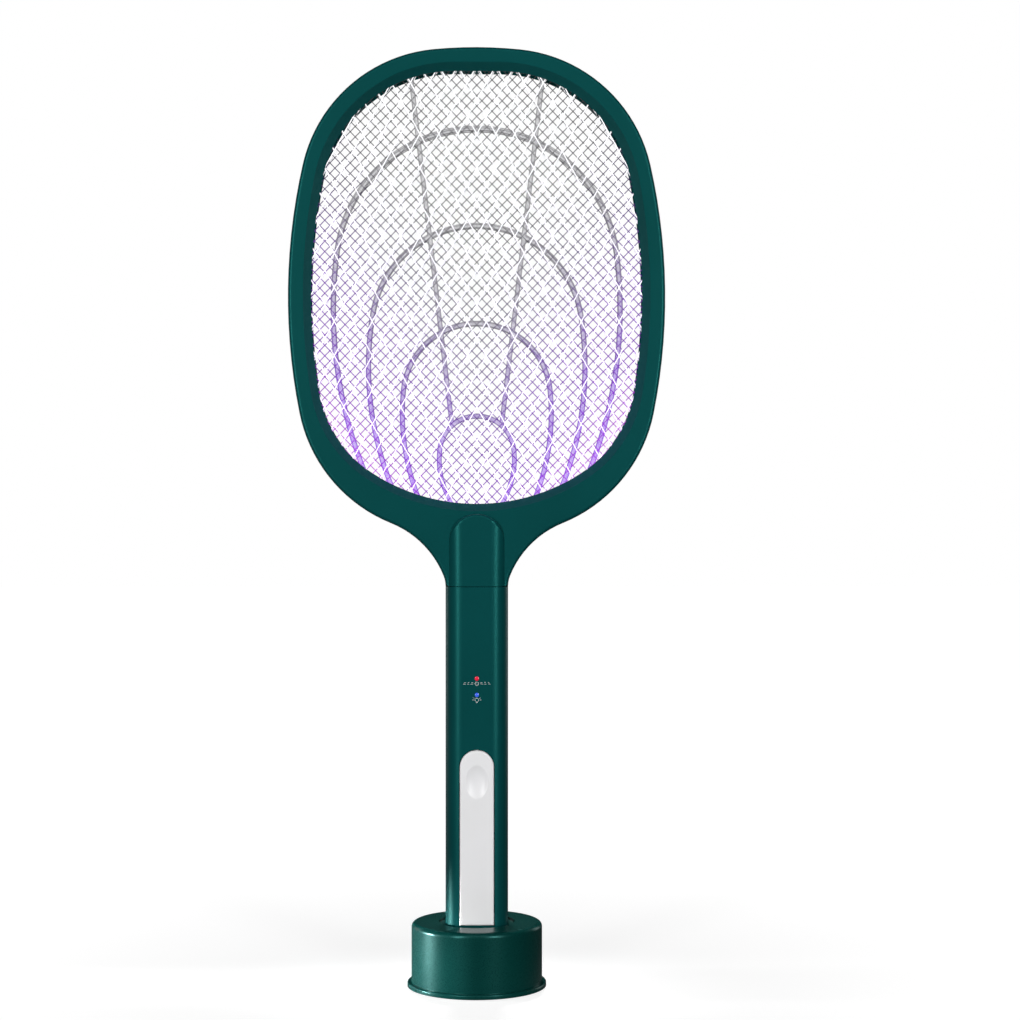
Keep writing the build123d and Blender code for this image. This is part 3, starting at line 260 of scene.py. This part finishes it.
brassLook = {
    "dark": linear(190, 150, 70), "light": linear(218, 182, 96), "streakScale": 600.0,
    "depth": 0.00002, "roughLow": 0.18, "roughHigh": 0.32,
}

greenShell = plasticMaterial("greenShell", shellLook)
greenDock = plasticMaterial("greenDock", dockLook)
whiteKey = plasticMaterial("whiteKey", keyLook)
blackCasing = plasticMaterial("blackCasing", blackLook)
footRubber = plasticMaterial("footRubber", rubberLook)
boardMask = plasticMaterial("boardMask", boardLook)
windingTape = plasticMaterial("windingTape", tapeLook)
dippedCapacitor = plasticMaterial("dippedCapacitor", capacitorLook)
cellSleeve = plasticMaterial("cellSleeve", cellLook)
leadCover = plasticMaterial("leadCover", leadLook)
printInk = plasticMaterial("printInk", printLook)
zincScrew = metalMaterial("zincScrew", screwLook)
contactBrass = metalMaterial("contactBrass", brassLook)

headLow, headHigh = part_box("hv_grid")
netBottom, netTop = headLow[2], headHigh[2]

white = (1, 1, 1, 1)
black = (0, 0, 0, 1)
# painted lamp light on the kill net: violet tint and glow low in the head, fading to grey steel with
# almost no glow near the top
netLook = {
    "cloudScale": 30.0, "wobble": 0.02, "edgePull": 1.1, "bottom": netBottom - 0.05,
    "top": netTop - 0.08, "grainScale": 1500.0, "grainDepth": 0.00002,
    "roughLow": 0.35, "roughHigh": 0.5, "metallic": 0.3, "glowStrength": 1.0,
    "stops": [
        (0.00, linear(176, 110, 190)), (0.14, linear(116, 60, 150)), (0.45, linear(104, 60, 136)),
        (0.70, linear(82, 72, 104)), (0.92, linear(80, 78, 82)),
    ],
    "glow": [
        (0.00, linear(206, 120, 200)), (0.12, linear(148, 44, 168)), (0.24, linear(104, 10, 150)),
        (0.46, linear(84, 14, 132)), (0.72, linear(34, 16, 56)), (0.92, linear(12, 11, 14)),
    ],
}
# painted lamp light on the rib spacers: violet tint and glow low in the head, grey higher up, and
# painted shade on the rims
ribLook = {
    "cloudScale": 150.0, "wobble": 0.05, "edgePull": 0.7, "bottom": netBottom - 0.02,
    "top": netTop - 0.06, "grainScale": 700.0, "grainDepth": 0.00012,
    "roughLow": 0.10, "roughHigh": 0.25, "glowStrength": 1.0,
    "speckScale": 420.0, "speckCover": 0.14, "faceCover": 0.14, "edgeCover": 0.66,
    "edgeRound": 0.0011, "edgeFrom": 0.02, "edgeTo": 0.20, "ior": 1.49,
    "turnBlend": 0.5, "speckLow": 0.40, "speckHigh": 0.60,
    "stops": [
        (0.00, linear(120, 80, 180)), (0.25, linear(90, 60, 160)), (0.50, linear(110, 96, 130)),
        (0.75, linear(130, 128, 134)), (1.00, linear(140, 140, 142)),
    ],
    "glow": [
        (0.00, linear(200, 60, 214)), (0.14, linear(138, 18, 206)), (0.34, linear(118, 28, 186)),
        (0.55, linear(110, 90, 150)), (0.75, linear(120, 116, 130)), (0.92, linear(120, 120, 124)),
    ],
    "rimShadeAndGlow": [
        (0.00, linear(210, 70, 210)), (0.14, linear(104, 8, 170)), (0.34, linear(66, 6, 116)),
        (0.55, linear(20, 8, 40)), (0.75, linear(6, 5, 10)), (0.92, linear(8, 8, 10)),
    ],
}
# painted light on the white guard wires: they glow near white all over, with a violet tinge low in
# the head standing in for the lamps' light
guardLook = {
    "cloudScale": 60.0, "wobble": 0.02, "edgePull": 0.3, "bottom": netBottom - 0.03,
    "top": netTop - 0.03, "grainScale": 1400.0, "grainDepth": 0.00003,
    "roughLow": 0.4, "roughHigh": 0.5, "glowStrength": 0.8,
    "stops": [
        (0.0, linear(250, 240, 252)), (0.5, linear(242, 240, 246)), (1.0, linear(240, 240, 242)),
    ],
    "glow": [
        (0.0, linear(246, 222, 250)), (0.3, linear(222, 214, 234)), (1.0, linear(214, 214, 216)),
    ],
}
netSteel = paintedLampGlowMaterial("netSteel", netLook).material
guardCoat = paintedLampGlowMaterial("guardCoat", guardLook).material
ribRecipe = paintedLampGlowMaterial("ribPlastic", ribLook)
ribRecipe.setValues(IOR=ribLook["ior"])
ribTurn = ribRecipe.add("ShaderNodeLayerWeight")  # painted rim shade and glow: where the clear ribs turn away they get more cover and the rim colour, dark high in the head and violet low down
ribTurn.inputs["Blend"].default_value = ribLook["turnBlend"]
ribRound = ribRecipe.add("ShaderNodeBevel", samples=6)
ribRound.inputs["Radius"].default_value = ribLook["edgeRound"]
ribRecipe.join(ribRound.outputs[0], ribTurn.inputs["Normal"])
ribSpeck = ribRecipe.span(
    ribRecipe.noise(ribLook["speckScale"], 2.0), ribLook["speckLow"], ribLook["speckHigh"],
)
paintedRimMask = ribRecipe.span(ribTurn.outputs["Facing"], ribLook["edgeFrom"], ribLook["edgeTo"])
ribAlpha = ribRecipe.add("ShaderNodeMath", operation="MULTIPLY_ADD")
ribRecipe.join(ribSpeck, ribAlpha.inputs[0])
ribAlpha.inputs[1].default_value = ribLook["speckCover"]
ribCover = ribRecipe.span(paintedRimMask, 0.0, 1.0, ribLook["faceCover"], ribLook["edgeCover"])
ribRecipe.join(ribCover, ribAlpha.inputs[2])
ribRecipe.join(ribAlpha.outputs[0], ribRecipe.shader.inputs["Alpha"])
faceGlow = ribRecipe.shader.inputs["Emission Color"].links[0].from_socket
# painted rim colour: dark shade high in the head, violet glow low down
rimShadeAndGlow = ribRecipe.ramp(ribRecipe.place, ribLook["rimShadeAndGlow"])
glowMix = ribRecipe.add("ShaderNodeMix", data_type="RGBA")
ribRecipe.join(paintedRimMask, glowMix.inputs[0])
ribRecipe.join(faceGlow, glowMix.inputs[6])
ribRecipe.join(rimShadeAndGlow, glowMix.inputs[7])
ribRecipe.join(glowMix.outputs[2], ribRecipe.shader.inputs["Emission Color"])
ribPlastic = ribRecipe.material


lensLook = {
    "edgeBlend": 0.35, "speckScale": 900.0, "speckLow": 0.2, "speckHigh": 0.8,
    "rough": 0.12, "ior": 1.49, "coat": 0.6,
}


def lensMaterial(name, colour, glow, strength, look=lensLook):
    recipe = Recipe(name)
    edge = recipe.add("ShaderNodeLayerWeight")
    edge.inputs["Blend"].default_value = look["edgeBlend"]
    tint = recipe.ramp(edge.outputs["Facing"], [(0.0, glow), (1.0, colour)])
    recipe.join(tint, recipe.shader.inputs["Base Color"])
    speck = recipe.noise(look["speckScale"], 2.0)
    speckGlow = recipe.ramp(speck, [(look["speckLow"], colour), (look["speckHigh"], glow)])
    recipe.join(speckGlow, recipe.shader.inputs["Emission Color"])
    recipe.setValues(Emission_Strength=strength, Roughness=look["rough"])
    recipe.setValues(IOR=look["ior"], Coat_Weight=look["coat"])
    return recipe.material


redLens = lensMaterial("redLens", linear(150, 16, 40), linear(214, 30, 60), 0.55)
blueLens = lensMaterial("blueLens", linear(24, 50, 150), linear(50, 92, 214), 0.55)
violetLens = lensMaterial("violetLens", linear(120, 70, 250), linear(190, 150, 255), 0.5)
clearLens = lensMaterial("clearLens", linear(205, 180, 250), linear(225, 210, 255), 0.1)

finishes = {
    "base_housing": greenDock, "base_plate": greenDock, "head_front_frame": greenShell,
    "head_rear_frame": greenShell, "handle_front_shell": greenShell,
    "handle_rear_shell": greenShell, "handle_end_cap": greenShell, "mode_slider": greenShell,
    "front_rib_spacer": ribPlastic, "rear_rib_spacer": ribPlastic,
    "base_screws": zincScrew, "head_screws": zincScrew, "handle_screws": zincScrew,
    "board_screws": zincScrew, "key_pivot_pin": zincScrew, "usb_socket": zincScrew,
    "pin_spring_left": zincScrew, "pin_spring_right": zincScrew,
    "contact_pin_left": contactBrass, "contact_pin_right": contactBrass,
    "charge_pads": contactBrass, "battery_clips": contactBrass,
    "base_board": boardMask, "lamp_board": boardMask, "main_board": boardMask,
    "contact_block": blackCasing, "key_switch": blackCasing, "mode_switch": blackCasing,
    "board_components": blackCasing, "switch_stem": blackCasing,
    "hv_transformer": windingTape, "hv_capacitors": dippedCapacitor, "battery_cell": cellSleeve,
    "lamp_window": clearLens, "uv_leds": violetLens, "base_feet": footRubber,
    "grid_leads": leadCover,
}
for nodeName, material in finishes.items():
    dress(nodes[nodeName], material)
print("materials given to", len(finishes), "parts")


# nets: round wires laid along the frame's own wire lines

def wireLines(nodeName):  # the two ends of every separate wire in a net
    work = bmesh.new()
    work.from_mesh(nodes[nodeName].data)
    bmesh.ops.remove_doubles(work, verts=work.verts, dist=1e-6)
    unseen = set(work.verts)
    lines = []
    while unseen:
        group, waiting = [], [unseen.pop()]
        while waiting:
            vert = waiting.pop()
            group.append(vert.co.copy())
            for link in vert.link_edges:
                other = link.other_vert(vert)
                if other in unseen:
                    unseen.remove(other)
                    waiting.append(other)
        middle = sum(group, Vector()) / len(group)
        far = max(group, key=lambda spot: (spot - middle).length) - middle
        leansRight = far.x * far.z > 0
        ends = [spot for spot in group if (spot - middle).dot(far) > 0]
        tip = sum(ends, Vector()) / len(ends)
        back = middle * 2 - tip
        low, high = (back, tip) if tip.z > back.z else (tip, back)
        lines.append({"low": low, "high": high, "right": leansRight})
    work.free()
    return lines


def tubeAlong(points, faces, path, radius, sides):
    first = len(points)
    for index, spot in enumerate(path):
        ahead = path[min(index + 1, len(path) - 1)] - path[max(index - 1, 0)]
        ahead.normalize()
        side = ahead.cross(Vector((0, 1, 0))).normalized()
        lift = side.cross(ahead).normalized()
        for step in range(sides):
            angle = math.tau * step / sides
            offset = side * math.cos(angle) * radius + lift * math.sin(angle) * radius
            points.append(spot + offset)
    for ring in range(len(path) - 1):
        for step in range(sides):
            a = first + ring * sides + step
            b = first + ring * sides + (step + 1) % sides
            faces.append((a, b, b + sides, a + sides))
    last = first + (len(path) - 1) * sides
    faces.append(tuple(range(first, first + sides))[::-1])
    faces.append(tuple(range(last, last + sides)))


def netMesh(name, lines, look):
    groups = {True: [], False: []}
    for line in lines:
        groups[line["right"]].append(line)
    centreY = sum(line["low"].y for line in lines) / len(lines)
    across, starts, pitches = {}, {}, {}
    for lean, members in groups.items():
        along = (members[0]["high"] - members[0]["low"]).normalized()
        across[lean] = Vector((-along.z, 0, along.x))
        members.sort(key=lambda line: line["low"].dot(across[lean]))
        starts[lean] = members[0]["low"].dot(across[lean])
        ends = members[-1]["low"].dot(across[lean])
        pitches[lean] = (ends - starts[lean]) / (len(members) - 1)
    points, faces = [], []
    for lean, members in groups.items():
        other = not lean
        wave = look["wave"] if lean else -look["wave"]
        for line in members:
            row = round((line["low"].dot(across[lean]) - starts[lean]) / pitches[lean])
            run = line["high"] - line["low"]
            rate = run.dot(across[other]) / pitches[other]
            count = max(2, int(abs(rate) * look["stepsPerCell"]))
            path = []
            for step in range(count + 1):
                spot = line["low"] + run * (step / count)
                turn = (spot.dot(across[other]) - starts[other]) / pitches[other]
                spot.y = centreY + wave * math.cos(math.pi * (turn + row))
                path.append(spot)
            tubeAlong(points, faces, path, look["radius"], look["sides"])
    return meshFrom(name, points, faces)


killNetLook = {"radius": 0.00023, "wave": 0.00022, "sides": 6, "stepsPerCell": 2.0}
guardNetLook = {"radius": 0.00028, "wave": 0.00012, "sides": 8, "stepsPerCell": 2.0}

killNet = newPiece(
    "killNet", netMesh("killNet", wireLines("hv_grid"), killNetLook),
    "swatter", "grid_steel", "hv_grid",
)
dress(killNet, netSteel)
for sideName in ("front", "rear"):
    nodeName = sideName + "_guard_mesh"
    guard = newPiece(
        sideName + "GuardNet", netMesh(sideName + "GuardNet", wireLines(nodeName), guardNetLook),
        "swatter", "white_wire", nodeName,
    )
    dress(guard, guardCoat)
print("nets laid")


# trigger key

keyLow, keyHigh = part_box("press_key")
keyShape = {
    "halfWidth": (keyHigh[0] - keyLow[0]) / 2, "bottom": keyLow[2], "top": keyHigh[2],
    "face": keyLow[1], "thickness": 0.0025, "edge": 0.0009, "edgeSteps": 5, "crown": 0.00025,
    "columns": 44, "rows": 200,
    "dimpleHalfWidth": 0.0052, "dimpleHalfHeight": 0.0077, "dimpleDrop": 0.0169,
    "dimpleDepth": 0.0016, "dimpleReach": 1.35, "dimpleCurve": 1.25,
    "pivotRise": 0.005, "lugHalfWidth": 0.0081, "lugHalfHeight": 0.002, "lugDepth": 0.0042,
    "lugBevel": 0.0003, "overlap": 0.0002, "pusherRadius": 0.0022,
}


def keyDepth(shape, x, z):  # how far the face lies behind its highest point
    centreZ = shape["top"] - shape["dimpleDrop"]
    outward = (x / shape["dimpleHalfWidth"]) ** 2
    outward += ((z - centreZ) / shape["dimpleHalfHeight"]) ** 2
    depth = shape["crown"] * (x / shape["halfWidth"]) ** 2
    if outward < shape["dimpleReach"]:
        bowl = max(0.0, 1 - outward / shape["dimpleReach"])
        depth += shape["dimpleDepth"] * bowl ** shape["dimpleCurve"] * (3 - bowl) / 2
    return depth


def buildKeyFace(shape):  # the key's front with its thumb dimple, rounded edge and flat back
    points, faces = [], []
    columns, rows = shape["columns"], shape["rows"]
    inset = shape["edge"]
    half = shape["halfWidth"] - inset
    centreZ = shape["top"] - shape["halfWidth"]
    floor = shape["bottom"] + inset
    peak = centreZ + half
    for row in range(rows + 1):
        z = floor + (peak - floor) * row / rows
        reach = half
        if z > centreZ:
            reach = math.sqrt(max(half ** 2 - (z - centreZ) ** 2, 1e-12))
        for column in range(columns + 1):
            x = -reach + 2 * reach * column / columns
            points.append(Vector((x, shape["face"] + keyDepth(shape, x, z), z)))
    wide = columns + 1
    for row in range(rows):
        for column in range(columns):
            a = row * wide + column
            faces.append((a, a + 1, a + 1 + wide, a + wide))
    border = list(range(wide))
    border += [row * wide + columns for row in range(1, rows + 1)]
    border += [rows * wide + column for column in range(columns - 1, -1, -1)]
    border += [row * wide for row in range(rows - 1, 0, -1)]
    size = len(border)
    previous = border
    edgeSteps = shape["edgeSteps"]
    for ring in range(1, edgeSteps + 2):  # the last ring drops straight to the back
        angle = math.pi / 2 * min(ring, edgeSteps) / edgeSteps
        grow = shape["edge"] * math.sin(angle) / inset
        fresh = []
        for index in border:
            spot = points[index]
            z = spot.z
            if z > centreZ:
                out = Vector((spot.x, 0, z - centreZ)).normalized() * inset * grow
            elif abs(spot.x) > half - 1e-7 and z > floor + 1e-7:
                out = Vector((math.copysign(inset * grow, spot.x), 0, 0))
            elif abs(spot.x) > half - 1e-7:
                out = Vector((math.copysign(inset * grow, spot.x), 0, -inset * grow))
            else:
                out = Vector((0, 0, -inset * grow))
            drop = shape["edge"] * (1 - math.cos(angle))
            y = spot.y + drop
            if ring > edgeSteps:
                y = shape["face"] + shape["thickness"]
            fresh.append(len(points))
            points.append(Vector((spot.x + out.x, y, z + out.z)))
        for step in range(size):
            a, b = previous[step], previous[(step + 1) % size]
            c, d = fresh[(step + 1) % size], fresh[step]
            faces.append((a, d, c, b))
        previous = fresh
    faces.append(tuple(previous))
    return points, faces


def addBlock(points, faces, low, high, bevel):  # a block with its long edges taken off
    x0, y0, z0 = low
    x1, y1, z1 = high
    profile = [
        (y0, z0 + bevel), (y0 + bevel, z0), (y1 - bevel, z0), (y1, z0 + bevel),
        (y1, z1 - bevel), (y1 - bevel, z1), (y0 + bevel, z1), (y0, z1 - bevel),
    ]
    first = len(points)
    for x in (x0, x1):
        for y, z in profile:
            points.append(Vector((x, y, z)))
    size = len(profile)
    for step in range(size):
        a, b = first + step, first + (step + 1) % size
        faces.append((a, b, b + size, a + size))
    faces.append(tuple(range(first, first + size))[::-1])
    faces.append(tuple(range(first + size, first + 2 * size)))


def addRod(points, faces, x, z, y0, y1, radius, sides=24):  # a rod with its far end tapered
    first = len(points)
    profile = [(y0, radius), (y1 - radius * 0.2, radius), (y1, radius * 0.8)]
    for y, reach in profile:
        for step in range(sides):
            angle = math.tau * step / sides
            points.append(Vector((x + reach * math.cos(angle), y, z + reach * math.sin(angle))))
    for ring in range(len(profile) - 1):
        for step in range(sides):
            a = first + ring * sides + step
            b = first + ring * sides + (step + 1) % sides
            faces.append((a, b, b + sides, a + sides))
    faces.append(tuple(range(first, first + sides)))
    last = first + (len(profile) - 1) * sides
    faces.append(tuple(range(last, last + sides))[::-1])


keyPoints, keyFaces = buildKeyFace(keyShape)
keyBack = keyShape["face"] + keyShape["thickness"]
pivotZ = keyShape["bottom"] + keyShape["pivotRise"]
rootY = keyBack - keyShape["overlap"]
addBlock(
    keyPoints, keyFaces,
    (-keyShape["lugHalfWidth"], rootY, pivotZ - keyShape["lugHalfHeight"]),
    (keyShape["lugHalfWidth"], keyBack + keyShape["lugDepth"], pivotZ + keyShape["lugHalfHeight"]),
    keyShape["lugBevel"],
)
addRod(
    keyPoints, keyFaces, 0.0, keyShape["top"] - keyShape["dimpleDrop"],
    rootY, keyHigh[1], keyShape["pusherRadius"],
)
triggerKey = newPiece(
    "triggerKey", meshFrom("triggerKey", keyPoints, keyFaces),
    "press_key", "white_plastic", "press_key",
)
dress(triggerKey, whiteKey)
print("trigger key made")


# indicator lenses

lensShape = {"dome": 0.00035, "sides": 32, "domeSteps": 6}


def lensMesh(name, nodeName, shape):  # a short rod with a domed front
    low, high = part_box(nodeName)
    x, z = (low[0] + high[0]) / 2, (low[2] + high[2]) / 2
    radius = (high[0] - low[0]) / 2
    points, faces = [], []
    sides, dome = shape["sides"], shape["dome"]
    profile = [(high[1], radius), (low[1] + dome, radius)]
    for domeStep in range(1, shape["domeSteps"]):
        angle = math.pi / 2 * domeStep / shape["domeSteps"]
        profile.append((low[1] + dome * (1 - math.sin(angle)), radius * math.cos(angle)))
    for y, reach in profile:
        for step in range(sides):
            angle = math.tau * step / sides
            points.append(Vector((x + reach * math.cos(angle), y, z + reach * math.sin(angle))))
    for ring in range(len(profile) - 1):
        for step in range(sides):
            a = ring * sides + step
            b = ring * sides + (step + 1) % sides
            faces.append((a, b, b + sides, a + sides))
    faces.append(tuple(range(sides))[::-1])
    tip = len(points)
    points.append(Vector((x, low[1], z)))
    last = (len(profile) - 1) * sides
    for step in range(sides):
        faces.append((last + step, last + (step + 1) % sides, tip))
    return meshFrom(name, points, faces)


for tone, lens in (("red", redLens), ("blue", blueLens)):
    pipeName = tone + "_light_pipe"
    light = newPiece(
        tone + "Light", lensMesh(tone + "Light", pipeName, lensShape),
        "swatter", tone + "_light", pipeName,
    )
    dress(light, lens)


# printed marks beside the lights

markLook = {
    "thick": 0.00005, "line": 0.00022, "ringSteps": 24, "ringRadius": 0.00095,
    "rowGap": 0.0026, "powerArc": (120, 420), "powerBar": (0.0002, 0.00125),
    "dashes": [(0.0020, 0.0034), (0.0041, 0.0052), (0.0058, 0.0072)],
    "dashBelow": 0.0003, "dashAbove": 0.0005, "upperShare": 0.6,
    "iconGap": 0.0026, "bulbArc": (-50, 230), "capBars": [(0.0005, 0.0011), (0.0004, 0.00145)],
    "sideRay": (0.0015, 0.0024), "upperRay": ((0.0013, 0.0008), (0.0019, 0.0012)),
}
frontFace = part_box("handle_front_shell")[0][1]


def ringStroke(points, faces, x, z, arc, look):  # an open ring, its ends given in degrees
    first = len(points)
    y = frontFace - look["thick"]
    start, end = math.radians(arc[0]), math.radians(arc[1])
    steps = look["ringSteps"]
    inner, outer = look["ringRadius"] - look["line"] / 2, look["ringRadius"] + look["line"] / 2
    for step in range(steps + 1):
        angle = start + (end - start) * step / steps
        for reach in (inner, outer):
            points.append(Vector((x + reach * math.cos(angle), y, z + reach * math.sin(angle))))
    for step in range(steps):
        a = first + 2 * step
        faces.append((a, a + 2, a + 3, a + 1))


def barStroke(points, faces, x0, z0, x1, z1, look):
    y = frontFace - look["thick"]
    run = Vector((x1 - x0, 0, z1 - z0)).normalized()
    side = Vector((-run.z, 0, run.x)) * look["line"] / 2
    first = len(points)
    for x, z in ((x0, z0), (x1, z1)):
        points.append(Vector((x, y, z)) + side)
        points.append(Vector((x, y, z)) - side)
    faces.append((first, first + 1, first + 3, first + 2))


def powerRow(look):  # a power sign between short dashes
    points, faces = [], []
    low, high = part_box("red_light_pipe")
    z = (low[2] + high[2]) / 2 - look["rowGap"]
    ringStroke(points, faces, 0, z, look["powerArc"], look)
    barLow, barHigh = look["powerBar"]
    barStroke(points, faces, 0, z + barLow, 0, z + barHigh, look)
    for side in (-1, 1):
        for near, far in look["dashes"]:
            lowZ, highZ = z - look["dashBelow"], z + look["dashAbove"]
            shortFar = near + (far - near) * look["upperShare"]
            barStroke(points, faces, side * near, lowZ, side * far, lowZ, look)
            barStroke(points, faces, side * near, highZ, side * shortFar, highZ, look)
    return points, faces


def lampSign(look):  # a small bulb with rays
    points, faces = [], []
    low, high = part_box("blue_light_pipe")
    z = (low[2] + high[2]) / 2 - look["iconGap"]
    ringStroke(points, faces, 0, z, look["bulbArc"], look)
    for half, drop in look["capBars"]:
        barStroke(points, faces, -half, z - drop, half, z - drop, look)
    sideNear, sideFar = look["sideRay"]
    (nearX, nearZ), (farX, farZ) = look["upperRay"]
    for side in (-1, 1):
        barStroke(points, faces, side * sideNear, z, side * sideFar, z, look)
        barStroke(points, faces, side * nearX, z + nearZ, side * farX, z + farZ, look)
    return points, faces


for markName, sign in (("powerMark", powerRow), ("lampMark", lampSign)):
    markPoints, markFaces = sign(markLook)
    mark = newPiece(
        markName, meshFrom(markName, markPoints, markFaces, False), "swatter", "white_plastic",
    )
    dress(mark, printInk)
print("lights and marks set")


# softened edges on the mode slider, which comes straight from the frame

sliderEdge = {"width": 0.0003, "steps": 3, "sharperThan": 50, "weldGap": 1e-6}
weld = nodes["mode_slider"].modifiers.new("weld", "WELD")
weld.merge_threshold = sliderEdge["weldGap"]
softEdge = nodes["mode_slider"].modifiers.new("softEdge", "BEVEL")
softEdge.width = sliderEdge["width"]
softEdge.segments = sliderEdge["steps"]
softEdge.limit_method = "ANGLE"
softEdge.angle_limit = math.radians(sliderEdge["sharperThan"])


# studio: floor, world, lights, camera

studio = {
    "floorSize": 6.0, "cameraBack": 1.160, "cameraHeight": 0.2553, "aimX": 0.0178, "aimZ": 0.2551,
    "lens": 76.3, "bounceLeft": 0.16, "bounceRight": 0.01, "bounceShade": 0.04,
    "worldFront": 0.16, "worldBack": 0.004, "worldTurn": (-1.0, -0.35),
    "bounceSpan": (-0.22, 0.10), "shadeScale": 3.0, "shadeSpan": (0.3, 0.7),
    "seenShade": (0.30, 0.32), "glowSpan": (0.05, 0.45), "seenGlow": (0.80, 1.0),
}

reach = studio["floorSize"]
floorMesh = meshFrom(
    "studioFloor",
    [Vector((-reach, -reach, 0)), Vector((reach, -reach, 0)),
     Vector((reach, reach, 0)), Vector((-reach, reach, 0))],
    [(0, 1, 2, 3)], False,
)
studioFloor = bpy.data.objects.new("studioFloor", floorMesh)
bpy.context.scene.collection.objects.link(studioFloor)
floorRecipe = Recipe("paleFloor")
floorCloud = floorRecipe.noise(studio["shadeScale"], 2.0)
seenShade = floorRecipe.span(floorCloud, *studio["shadeSpan"], *studio["seenShade"])
fromCentre = floorRecipe.add("ShaderNodeVectorMath", operation="LENGTH")
floorRecipe.join(floorRecipe.coords, fromCentre.inputs[0])
seenGlow = floorRecipe.span(fromCentre.outputs["Value"], *studio["glowSpan"], *studio["seenGlow"])
bounceGlow = floorRecipe.span(
    floorRecipe.axis("X"), *studio["bounceSpan"], studio["bounceLeft"], studio["bounceRight"],
)
floorRays = floorRecipe.add("ShaderNodeLightPath")  # the floor is seen bright but lights little
floorPick = floorRecipe.add("ShaderNodeMix", data_type="FLOAT")
floorRecipe.join(floorRays.outputs["Is Camera Ray"], floorPick.inputs[0])
floorRecipe.join(bounceGlow, floorPick.inputs[2])
floorRecipe.join(seenGlow, floorPick.inputs[3])
floorRecipe.join(floorPick.outputs[0], floorRecipe.shader.inputs["Emission Strength"])
shadePick = floorRecipe.add("ShaderNodeMix", data_type="FLOAT")
floorRecipe.join(floorRays.outputs["Is Camera Ray"], shadePick.inputs[0])
shadePick.inputs[2].default_value = studio["bounceShade"]
floorRecipe.join(seenShade, shadePick.inputs[3])
floorTone = floorRecipe.ramp(shadePick.outputs[0], [(0.0, black), (1.0, white)])
floorRecipe.join(floorTone, floorRecipe.shader.inputs["Base Color"])
floorRecipe.setValues(Roughness=1.0, Specular_IOR_Level=0.0, Emission_Color=(1, 1, 1, 1))
dress(studioFloor, floorRecipe.material)

scene = bpy.context.scene
world = bpy.data.worlds.new("studioWorld")
scene.world = world
world.use_nodes = True
tree = world.node_tree
tree.nodes.clear()
worldOut = tree.nodes.new("ShaderNodeOutputWorld")
seen = tree.nodes.new("ShaderNodeBackground")
seen.inputs["Color"].default_value = (1, 1, 1, 1)
seen.inputs["Strength"].default_value = 1.0
around = tree.nodes.new("ShaderNodeBackground")
around.inputs["Strength"].default_value = 1.0
direction = tree.nodes.new("ShaderNodeTexCoord")
parts = tree.nodes.new("ShaderNodeSeparateXYZ")
tree.links.new(direction.outputs["Generated"], parts.inputs[0])
facing = tree.nodes.new("ShaderNodeMapRange")
facing.inputs["From Min"].default_value, facing.inputs["From Max"].default_value = studio["worldTurn"]
tree.links.new(parts.outputs["Y"], facing.inputs["Value"])
shade = tree.nodes.new("ShaderNodeValToRGB")
shade.color_ramp.elements[0].position = 0.0
shade.color_ramp.elements[0].color = [studio["worldFront"]] * 3 + [1]
shade.color_ramp.elements[1].position = 1.0
shade.color_ramp.elements[1].color = [studio["worldBack"]] * 3 + [1]
tree.links.new(facing.outputs[0], shade.inputs["Fac"])
tree.links.new(shade.outputs["Color"], around.inputs["Color"])
rays = tree.nodes.new("ShaderNodeLightPath")
pick = tree.nodes.new("ShaderNodeMixShader")
tree.links.new(rays.outputs["Is Camera Ray"], pick.inputs[0])
tree.links.new(around.outputs[0], pick.inputs[1])
tree.links.new(seen.outputs[0], pick.inputs[2])
tree.links.new(pick.outputs[0], worldOut.inputs["Surface"])


def softBox(name, place, target, width, height, power, spread=180):
    lamp = bpy.data.lights.new(name, "AREA")
    lamp.shape = "RECTANGLE"
    lamp.size = width
    lamp.size_y = height
    lamp.energy = power
    lamp.spread = math.radians(spread)
    box = bpy.data.objects.new(name, lamp)
    box.location = place
    box.rotation_euler = (Vector(target) - Vector(place)).to_track_quat("-Z", "Y").to_euler()
    scene.collection.objects.link(box)


# each lamp: name, place, what it points at, width, height, watts and, if narrow, its spread
softBox("leftBox", (-0.80, -1.30, 0.50), (0, 0, 0.22), 0.30, 0.9, 11.1)
softBox("rightBox", (0.80, -1.30, 0.50), (0, 0, 0.22), 0.30, 0.9, 10.8)
softBox("frontBox", (0, -1.25, 1.40), (0, 0, 0.20), 1.1, 0.5, 3.0)
softBox("backLeftBox", (-1.10, 1.00, 0.35), (0, 0, 0.25), 0.4, 0.8, 1.4)
softBox("backRightBox", (1.10, 1.00, 0.35), (0, 0, 0.25), 0.4, 0.8, 1.4)
softBox("topBox", (0, 0.26, 0.60), (0, 0, 0.034), 0.10, 0.05, 0.06, 20)
softBox("dockBox", (-0.45, 0, 0.035), (0, 0, 0.012), 0.08, 0.03, 0.055, 12)

camera = bpy.data.cameras.new("productCamera")
camera.lens = studio["lens"]
camera.sensor_width = 36.0
cameraObject = bpy.data.objects.new("productCamera", camera)
cameraObject.location = (0, -studio["cameraBack"], studio["cameraHeight"])
aim = Vector((studio["aimX"], 0, studio["aimZ"])) - cameraObject.location
cameraObject.rotation_euler = aim.to_track_quat("-Z", "Y").to_euler()
scene.collection.objects.link(cameraObject)
scene.camera = cameraObject
scene.view_settings.view_transform = "Standard"
print("studio ready")
